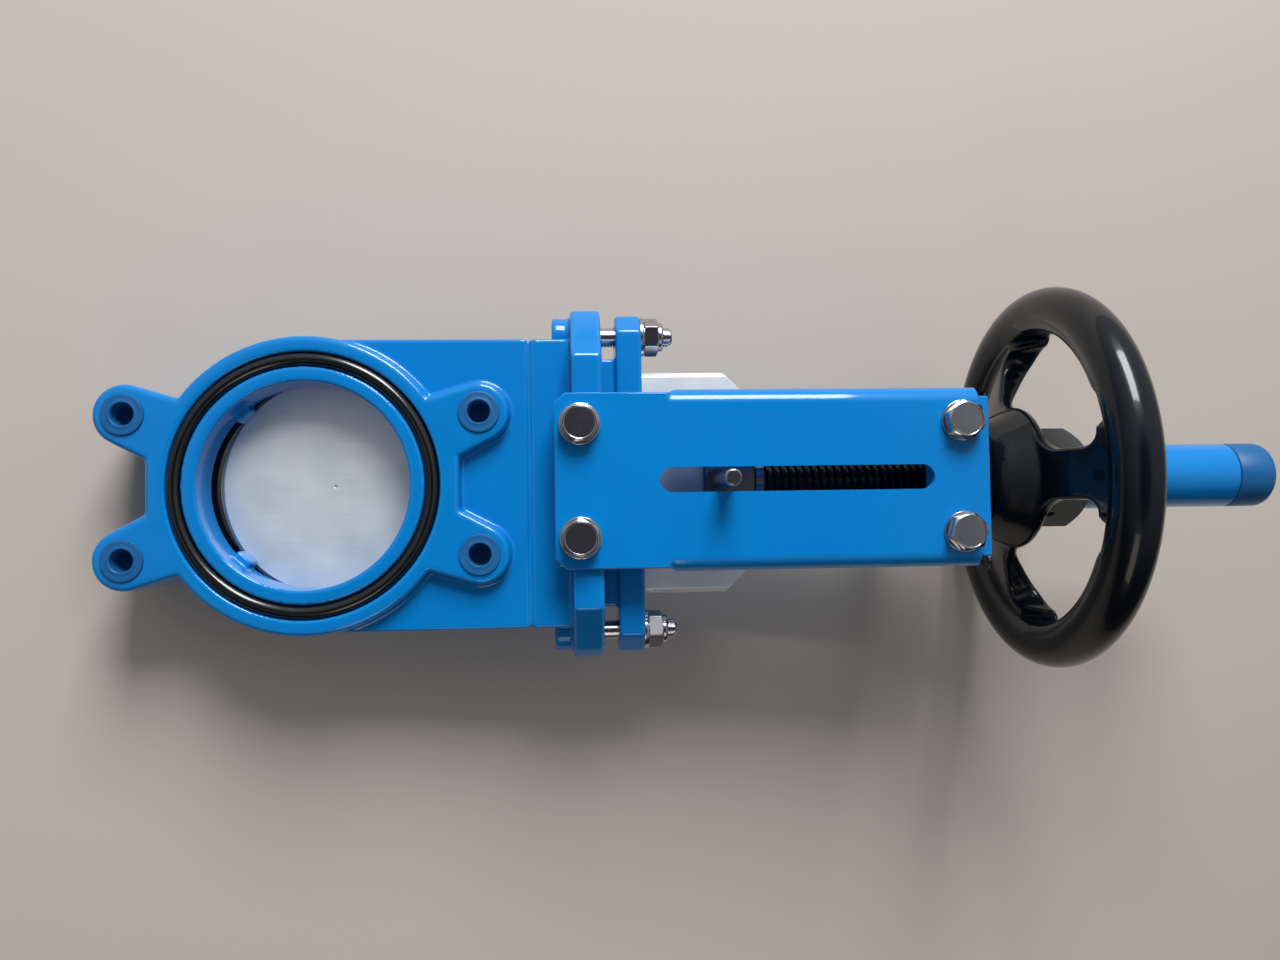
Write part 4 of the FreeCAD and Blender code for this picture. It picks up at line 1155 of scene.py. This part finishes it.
@dataclass
class FoldedPlate:
    """One yoke plate: sheet with both long edges folded in, flat tabs at its ends and a slot."""

    node: str
    side: Side
    sheet: float = 4.0
    fold: float = 7.5
    tab_half: float = 42.0
    end_tab_half: float = 39.0
    half: float = 44.0
    flange: float = 16.0
    fold_ends: Span = (173.0, 326.5)
    run_in: float = 5.0
    corner: float = 5.0
    slot_half: float = 6.0
    slot_ends: Span = (169.5, 303.6)
    slot_cut: Span = (30.0, 42.0)
    soft: float = 0.5

    def half_section(self, folded: float, half: float) -> np.ndarray:
        """The section from the middle of the outer face round to the middle of the inner face.

        Args:
            folded: 0 where the sheet is flat, 1 where its edge is folded in.
            half: the half width here in millimetres.

        Returns:
            Rows of distance from the middle and depth below the outer face.
        """
        turn = np.linspace(0, math.pi / 2, 12)
        inner = self.fold - self.sheet
        centre = self.half - self.fold
        bent = [*zip(centre + self.fold * np.sin(turn), self.fold * (1 - np.cos(turn))),
                (self.half, self.flange - self.soft), (self.half - self.soft, self.flange),
                (self.half - self.sheet + self.soft, self.flange),
                (self.half - self.sheet, self.flange - self.soft),
                *zip(centre + inner * np.sin(turn[::-1]), self.fold - inner * np.cos(turn[::-1]))]
        reach = np.linspace(centre, half - self.soft, 12)
        flat = [*((x, 0.0) for x in reach), (half, self.soft), (half, self.soft + 0.4),
                (half, self.sheet - self.soft - 0.4), (half, self.sheet - self.soft),
                *((x, self.sheet) for x in reach[::-1])]
        share = eased(folded)
        return (1 - share) * np.array(flat) + share * np.array(bent)

    def ring(self, height: float) -> np.ndarray:
        """The closed section at a height in millimetres, as points in metres."""
        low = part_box(self.node)[0].z / MM
        start, end = self.fold_ends
        folded = ramp(height, start, start + self.run_in) if height < end else 0.0
        cut = max(self.corner - (height - low), 0.0)
        half = self.tab_half - cut if height < end else self.end_tab_half
        right = self.half_section(folded, half)
        left = right[::-1] * (-1, 1)
        loop = np.concatenate([right, left])
        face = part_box(self.node)[0 if self.side is Side.FRONT else 1].y / MM
        return np.stack([loop[:, 0], face - self.side.value * loop[:, 1],
                         np.full(len(loop), height)], 1) * MM

    def build(self) -> None:
        """Builds the plate and cuts its slot."""
        low, high = (corner.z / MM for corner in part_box(self.node))
        start, end = self.fold_ends
        run = np.linspace(0, self.run_in, 9)
        heights = [low, low + self.corner, *(start + run), end - 0.3, end, high]
        mesh = ringed_mesh(self.node, [self.ring(z) for z in heights])
        plate = linked(f"{self.node}_folded", mesh)
        first, last = self.slot_ends
        half = self.slot_half
        outline = [(half * math.cos(t), middle + half * math.sin(t))
                   for middle, begin in ((last - half, 0.0), (first + half, math.pi))
                   for t in np.linspace(begin, begin + math.pi, 25)]
        cutter = linked("slot", ringed_mesh("slot", [
            np.array([(x, y, z) for x, z in outline]) * MM
            for y in (self.side.value * depth for depth in self.slot_cut)]))
        carve(plate, "slot", cutter)
        dressed(bevelled(plate, self.soft, 2, 50.0), SHEET_PAINT, Body.FRAME, self.node)


@dataclass
class Yoke:
    """The two folded plates, the bridge between them and the stem nut's bearing cap."""

    bridge_edge: float = 0.55
    cap_edge: float = 0.3

    def build(self) -> None:
        """Builds the plates, the bridge and the cap."""
        FoldedPlate("yoke_plate_front", Side.FRONT).build()
        FoldedPlate("yoke_plate_back", Side.BACK).build()
        machined("yoke_bridge", "machined", CAST_PAINT, Body.FRAME, self.bridge_edge)
        machined("bearing_cap", "turned", BLACK_ENAMEL, Body.FRAME, self.cap_edge)
        carried("bearing_cap_screws", PLAIN_STEEL)
        carried("thrust_washer_lower", BRONZE)
        carried("thrust_washer_upper", BRONZE)


# ---- gate and stem


@dataclass
class GateAndStem:
    """The gate, the clevis, the threaded stem and the indicator pin."""

    pitch: float = 4.0
    major: float = 10.0
    depth: float = 2.25
    mark_up: float = 10.0
    mark_radius: float = 0.8
    mark_deep: float = 2.2
    plain: float = 13.0
    gate_edge: float = 0.3
    clevis_edge: float = 0.35
    pin_edge: float = 0.2

    def build(self) -> None:
        """Builds the rising pieces."""
        gate = linked("knife_gate_ground", merged_mesh(["knife_gate"], 0.5))
        self.centre_mark(gate)
        dressed(bevelled(gate, self.gate_edge), GATE_STEEL, Body.GATE, "knife_gate")
        machined("stem_clevis", "milled", BRIGHT_STEEL, Body.GATE, self.clevis_edge)
        machined("indicator_pin", "turned", BRIGHT_STEEL, Body.GATE, self.pin_edge)
        low, high = (corner.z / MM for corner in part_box("stem"))
        root, shoulder = self.major - self.depth, low + self.plain
        profile = [(self.major - 1, low), (self.major, low + 1), (self.major, shoulder),
                   (root, shoulder + 2), (root, high - 2.2), (root - 1.2, high)]
        core = linked("stem_core", ringed_mesh("stem_core", lathe_rings(profile, 64)))
        # The stem's steel has painted shade: its colour is darkened for the shade inside the yoke,
        # besides its grease.
        thread = ridge("stem_thread", GREASED_STEEL_PAINTED_SHADE, self.pitch, self.major, self.depth,
                       shoulder + 2, high - 3.5, left_hand=True)
        stem = joined("stem_threaded", [core, thread])
        smooth_by_angle(stem.data, 35)
        dressed(stem, GREASED_STEEL_PAINTED_SHADE, Body.GATE, "stem")
        carried("stem_pin", PLAIN_STEEL)
        carried("pin_clips", PLAIN_STEEL)

    def centre_mark(self, gate: Object) -> None:
        """Cuts the punch mark in the gate that its round edge was turned from."""
        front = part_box("knife_gate")[0].y / MM
        radius, deep = self.mark_radius, -self.mark_deep
        profile = [(radius, 0.4), (radius, deep), (0.1, deep)]
        cone = ringed_mesh("punch", lathe_rings(profile, 20))
        cone.transform(Matrix.Translation((0, front * MM, self.mark_up * MM))
                       @ outward(Side.FRONT, 0).to_4x4())
        carve(gate, "mark", linked("punch", cone))


# ---- handwheel drive


@dataclass
class Handwheel:
    """The pressed wheel: round rim, three channelled spokes with flared roots, dished hub."""

    rim_ring: float = 87.6
    rim_section: float = 11.5
    rim_up: float = 375.6
    spoke_half: float = 12.5
    spoke_above: Span = (3.6, 13.2)
    spoke_below: Span = (2.2, 3.0)
    spoke_deepens: Span = (38.0, 66.0)
    spoke_soft: float = 1.3
    web_up: float = 358.6
    web_rise: float = 15.2
    web_span: Span = (32.0, 82.0)
    window_round: float = 10.0
    bore: float = 17.05
    hub_tall: float = 31.0
    bell: tuple[Span, ...] = ((22, 0), (24, 0.8), (27, 3.5), (29.8, 7.5), (32, 12),
                                             (34.4, 16.5))
    dish: float = 37.0
    root_from: float = 61.0
    top_flare: float = 15.0
    top_flares: Span = (58.0, 78.0)
    lip_half: float = 35.0
    lip_inner: float = 77.2
    lip_slant: float = 4.0
    lip_back: float = 3.2
    skin: float = 0.55
    skin_blend: float = 0.3
    voxel: float = 0.75
    rounds: int = 5
    triangles: int = 170_000

    def build(self) -> None:
        """Builds the wheel as one welded and enamelled piece."""
        shells = [self.rim(), self.hub(), self.upper_lip()]
        for degrees in (-90, 30, 150):
            shells += [self.spoke(math.radians(degrees)), self.lip(math.radians(degrees + 60))]
        wheel = joined("handwheel_enamelled", shells)
        cast_round(wheel, self.voxel if FINE else 1.4 * self.voxel, self.rounds, self.triangles)
        self.true_rim(wheel.data)
        dressed(wheel, BLACK_ENAMEL, Body.DRIVE, "handwheel")

    def rim(self) -> Object:
        """The rolled rim as a closed ring."""
        rings = torus_rings(self.rim_ring, self.rim_section, self.rim_up, 240, 48)
        return linked("rim", ringed_mesh("rim", rings, False, False))

    def upper_lip(self) -> Object:
        """The rim's upper inner edge, where the spokes' tops run into it."""
        inner, up = self.lip_inner - 2, self.rim_up
        profile = [(inner, up + 2.5), (80, up + 1), (82, up + 9.6), (inner + 2.5, up + 9.4),
                   (inner, up + 7.5), (inner, up + 2.5)]
        rings = lathe_rings(profile, 240)
        return linked("upper_lip", ringed_mesh("upper_lip", rings, False, False))

    def hub(self) -> Object:
        """The bell of the hub with its dish, bored for the stem nut."""
        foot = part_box("handwheel")[0].z / MM
        dish, bore, top = self.dish, self.bore, self.hub_tall
        profile = [(bore, 0), *self.bell, (dish - 0.8, 20), (dish, 21.5), (dish, 24.5),
                   (dish - 1.2, 26), (32, 26.5), (30, 27.5), (28, 30), (26.5, top), (bore, top),
                   (bore, 0)]
        rings = lathe_rings([(radius, foot + up) for radius, up in profile], 120)
        return linked("hub", ringed_mesh("hub", rings, False, False))

    def middle(self, radius: float) -> float:
        """The height of the web's middle surface at a radius, in millimetres."""
        share = ramp(radius, *self.web_span)
        return self.web_up + self.web_rise * (0.65 * share + 0.35 * eased(share))

    def half_width(self, radius: float) -> float:
        """Half the spoke's width at a radius, with round window corners at the dish and the rim."""
        curve = self.window_round

        def corner(into: float) -> float:
            """How much a round corner has widened the spoke at a depth into the corner."""
            into = min(max(into, 0.0), curve)
            return curve - math.sqrt(curve * curve - into * into)

        root, hub = radius - self.root_from, self.dish + curve - radius
        return self.spoke_half + corner(root) + corner(hub)

    def spoke(self, angle: float) -> Object:
        """One spoke from the dish into the rim, at an angle in radians, deeper at the rim."""
        corner = self.window_round
        turns = np.linspace(0, math.pi / 2, 9)
        radii = [32.0, 36.0, *(self.dish + corner * (1 - math.cos(t)) for t in turns), 55.0,
                 *(self.root_from + corner * math.sin(t) for t in turns), 74.0, 79.0, 84.0]
        soft, flat = self.spoke_soft, np.linspace(-1, 1, 9)
        rings = []
        for radius in radii:
            share = ramp(radius, *self.spoke_deepens)
            above, below = (first + (last - first) * share
                            for first, last in (self.spoke_above, self.spoke_below))
            half = self.half_width(radius)
            top = half + self.top_flare * eased(ramp(radius, *self.top_flares))
            across = np.array([-half, *(flat * (half - soft)), half,
                               top, *(flat[::-1] * (top - soft)), -top])
            rise = np.array([soft - below, *([-below] * 9), soft - below,
                             above - soft, *([above] * 9), above - soft])
            rings.append(polar(radius, angle + across / radius, self.middle(radius) + rise))
        return linked("spoke", ringed_mesh("spoke", rings))

    def lip(self, angle: float) -> Object:
        """The rim's inner lip across the window at an angle, short of the spokes' roots."""
        reach = math.pi / 3 - self.lip_half / self.lip_inner
        slant = math.radians(self.lip_slant)
        rings = []
        for turn in np.linspace(-reach, reach, 61):
            inner = self.lip_inner + self.lip_back * max(0.0, 1 - (reach - abs(turn)) / slant)
            radius, drop = zip((inner, 7.6), (inner + 0.6, 8.6), (81, 10.3), (84.5, 11.0),
                               (84.5, 4), (inner + 3, 4), (inner + 0.2, 6.2))
            rings.append(polar(radius, angle + turn, self.rim_up - np.array(drop)))
        return linked("lip", ringed_mesh("lip", rings))

    def true_rim(self, mesh: Mesh) -> None:
        """Sets every point of the relaxed wheel that lies on the rim's skin on its section."""
        points = np.zeros(len(mesh.vertices) * 3)
        mesh.vertices.foreach_get("co", points)
        points = points.reshape(-1, 3)
        around = np.hypot(points[:, 0], points[:, 1])
        across = around - self.rim_ring * MM
        up = points[:, 2] - self.rim_up * MM
        away = np.hypot(across, up)
        miss = np.abs(away - self.rim_section * MM)
        share = np.clip((self.skin * MM - miss) / (self.skin_blend * MM), 0, 1)
        scale = 1 + share * (self.rim_section * MM / np.maximum(away, 1e-9) - 1)
        new_around = self.rim_ring * MM + across * scale
        points[:, :2] *= (new_around / np.maximum(around, 1e-9))[:, None]
        points[:, 2] = self.rim_up * MM + up * scale
        mesh.vertices.foreach_set("co", points.ravel())
        mesh.update()


@dataclass
class Drive:
    """What turns with the wheel: stem nut, key, collar and the stem's cover tube."""

    collar_edge: float = 0.7
    tube_edge: float = 0.4
    nut_edge: float = 0.3

    def build(self) -> None:
        """Builds the pieces round the stem nut."""
        Handwheel().build()
        machined("hex_collar", "cast", DARK_IRON, Body.DRIVE, self.collar_edge, segments=3)
        machined("stem_tube", "painted", SHEET_PAINT, Body.DRIVE, self.tube_edge)
        machined("stem_nut", "turned", BRONZE, Body.DRIVE, self.nut_edge)
        carried("handwheel_key", PLAIN_STEEL)
        carried("collar_set_screw", PLAIN_STEEL)


@dataclass
class EndPlug:
    """The push-in plastic plug with a rounded end and a thin seam at the tube."""

    outer: float = 16.85
    dome: float = 5.5
    shoulder: float = 475.1
    barrel: float = 13.5
    barrel_wall: float = 1.5
    wall: float = 4.0
    dimple: float = 5.6

    def build(self) -> None:
        """Builds the plug as one turned and hollow piece."""
        low, high = (corner.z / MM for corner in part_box("tube_end_plug"))
        outer, seam, inside = self.outer - 0.1, self.shoulder, self.barrel - self.barrel_wall
        round_end = [(outer - self.dome * (1 - math.cos(t)), high - self.dome * (1 - math.sin(t)))
                     for t in np.linspace(0, math.pi / 2, 12)]
        barrel = self.barrel
        profile = [(inside, low), (barrel - 0.5, low), (barrel, low + 0.8), (barrel, seam),
                   (outer - 0.9, seam), (outer - 0.9, seam + 0.6), (outer - 0.2, seam + 0.9),
                   (outer, seam + 1.2), (outer, high - self.dome), *round_end,
                   (self.dimple + 0.6, high), (self.dimple, high - 0.5), (0.05, high - 0.5),
                   (0.05, high - self.wall),
                   (inside, high - self.wall), (inside, low)]
        shell = ringed_mesh("plug", lathe_rings(profile, 96), False, False)
        smooth_by_angle(shell, 35)
        dressed(linked("tube_end_plug_moulded", shell), DULL_PLASTIC, Body.END_PLUG,
                "tube_end_plug")


# ---- stage


@dataclass
class Studio:
    """A pale surface behind the valve, soft light and the camera."""

    eye: Triple = (0.01605, -0.49487, 0.12740)
    right: Triple = (0.0153, -0.0705, 0.9974)
    up: Triple = (-0.9993, -0.0362, 0.0128)
    back: Triple = (0.0352, -0.9969, -0.0710)
    lens: float = 27.135
    sensor: float = 36.0
    lower_touch: Span = (27.0, -98.0)
    upper_touch: Span = (99.2, 372.0)
    reach: float = 3.0
    sky_strength: float = 0.55

    def build(self) -> None:
        """Builds the surface, the lights and the camera."""
        self.surface()
        self.camera()
        self.light("window", (-1.55, -1.2, 0.42), (0.0, 0.0, 0.2), (1.05, 0.8), 50.0, "#FDFEFF")
        self.light("warm_fill", (0.9, -0.9, 0.1), (0.0, 0.0, 0.1), (0.6, 0.45), 1.5, "#FFF3E6")
        self.light("back_fill", (0.5, 1.3, 0.9), (0.0, 0.0, 0.2), (1.2, 1.2), 9.0, "#FFFFFF")
        self.world()
        bpy.context.scene.view_settings.view_transform = "Standard"

    def surface(self) -> None:
        """The pale surface that the valve's back rests on, seen only from its front."""
        (low_y, low_z), (high_y, high_z) = self.lower_touch, self.upper_touch
        along = Vector((0, high_y - low_y, high_z - low_z)).normalized()
        across = Vector((1, 0, 0))
        middle = Vector((0, low_y, low_z)) * MM
        corners = [middle + self.reach * (a * across + b * along)
                   for a, b in ((-1, -1), (-1, 1), (1, 1), (1, -1))]
        mesh = bpy.data.meshes.new("pale_floor")
        mesh.from_pydata([tuple(c) for c in corners], [], [(0, 1, 2, 3)])
        if mesh.polygons[0].normal.y > 0:
            mesh.flip_normals()
        floor = linked("pale_floor", mesh)
        floor.data.materials.append(self.floor_material())
        floor.visible_shadow = False

    def floor_material(self) -> Material:
        """Plain pale board; its back is left clear so that it hides nothing from behind."""
        made = bpy.data.materials.new("pale_board")
        made.use_nodes = True
        tree = made.node_tree
        shader = tree.nodes["Principled BSDF"]
        shader.inputs["Base Color"].default_value = linear("#B9B0A7")
        shader.inputs["Roughness"].default_value = 0.9
        shader.inputs["Specular IOR Level"].default_value = 0.2
        clear = add_node(tree, "ShaderNodeBsdfTransparent")
        facing = add_node(tree, "ShaderNodeNewGeometry")
        both = add_node(tree, "ShaderNodeMixShader", None, {
            0: facing.outputs["Backfacing"], 1: shader.outputs[0], 2: clear.outputs[0]})
        tree.links.new(both.outputs[0], tree.nodes["Material Output"].inputs["Surface"])
        return made

    def camera(self) -> None:
        """The camera at the viewing angle."""
        data = bpy.data.cameras.new("camera")
        data.lens, data.sensor_width = self.lens, self.sensor
        data.clip_start = 0.01
        view = linked("camera", data)
        frame_of = Matrix((self.right, self.up, self.back)).transposed().to_4x4()
        view.matrix_world = Matrix.Translation(self.eye) @ frame_of
        bpy.context.scene.camera = view

    def light(self, name: str, place: Triple, aim: Triple,
              size: Span, watts: float, colour: str) -> None:
        """Adds one soft rectangular light.

        Args:
            name: the light's name.
            place: where it is, in metres.
            aim: the point that it faces.
            size: its width and height in metres.
            watts: its power.
            colour: its sRGB hex colour.
        """
        data = bpy.data.lights.new(name, "AREA")
        data.shape = "RECTANGLE"
        data.size, data.size_y = size
        data.energy = watts
        data.color = linear(colour)[:3]
        lamp = linked(name, data)
        turn = (Vector(place) - Vector(aim)).to_track_quat("Z", "Y").to_matrix().to_4x4()
        lamp.matrix_world = Matrix.Translation(place) @ turn

    def world(self) -> None:
        """A room of soft light, bright on the window side and dark behind the camera."""
        room = bpy.data.worlds.new("soft_room")
        bpy.context.scene.world = room
        room.use_nodes = True
        tree = room.node_tree
        place = add_node(tree, "ShaderNodeTexCoord").outputs["Generated"]
        window = self.zone(tree, place, (-0.72, -0.68, 0.15), (-0.2, "#34373B"), (0.8, "#F2F7FC"))
        shade = self.zone(tree, place, (0.03, -1.0, 0.02), (0.86, "#FFFFFF"), (0.96, "#55555C"))
        both = add_node(tree, "ShaderNodeMix",
                        {"data_type": "RGBA", "blend_type": "MULTIPLY", 0: 1.0},
                        {6: window, 7: shade})
        sky = tree.nodes["Background"]
        sky.inputs["Strength"].default_value = self.sky_strength
        tree.links.new(both.outputs[2], sky.inputs["Color"])

    def zone(self, tree: Tree, place: Socket, heading: Triple,
             start: tuple[float, str], end: tuple[float, str]) -> Socket:
        """Blends two colours round a direction.

        Args:
            tree: the world's node tree.
            place: the direction looked in.
            heading: the direction that the blend runs towards.
            start: the dot product with the heading where the first colour ends, and that colour.
            end: the same for the second colour.

        Returns:
            The colour socket.
        """
        facing = add_node(tree, "ShaderNodeVectorMath", {"operation": "DOT_PRODUCT", 1: heading},
                          {0: place})
        share = add_node(tree, "ShaderNodeMapRange", {"From Min": start[0], "From Max": end[0]},
                         {"Value": facing.outputs["Value"]})
        mix = add_node(tree, "ShaderNodeMix",
                       {"data_type": "RGBA", 6: linear(start[1]), 7: linear(end[1])},
                       {0: share.outputs["Result"]})
        return mix.outputs[2]


def main() -> None:
    """Builds the valve's looks in order and the stage round it."""
    logging.basicConfig(level=logging.INFO, format="%(name)s: %(message)s")
    ValveBody().build()
    LugPlugs().build()
    GlandFasteners().build()
    Yoke().build()
    YokeFasteners().build()
    GateAndStem().build()
    Drive().build()
    EndPlug().build()
    Studio().build()


if __name__ == "__main__":
    main()
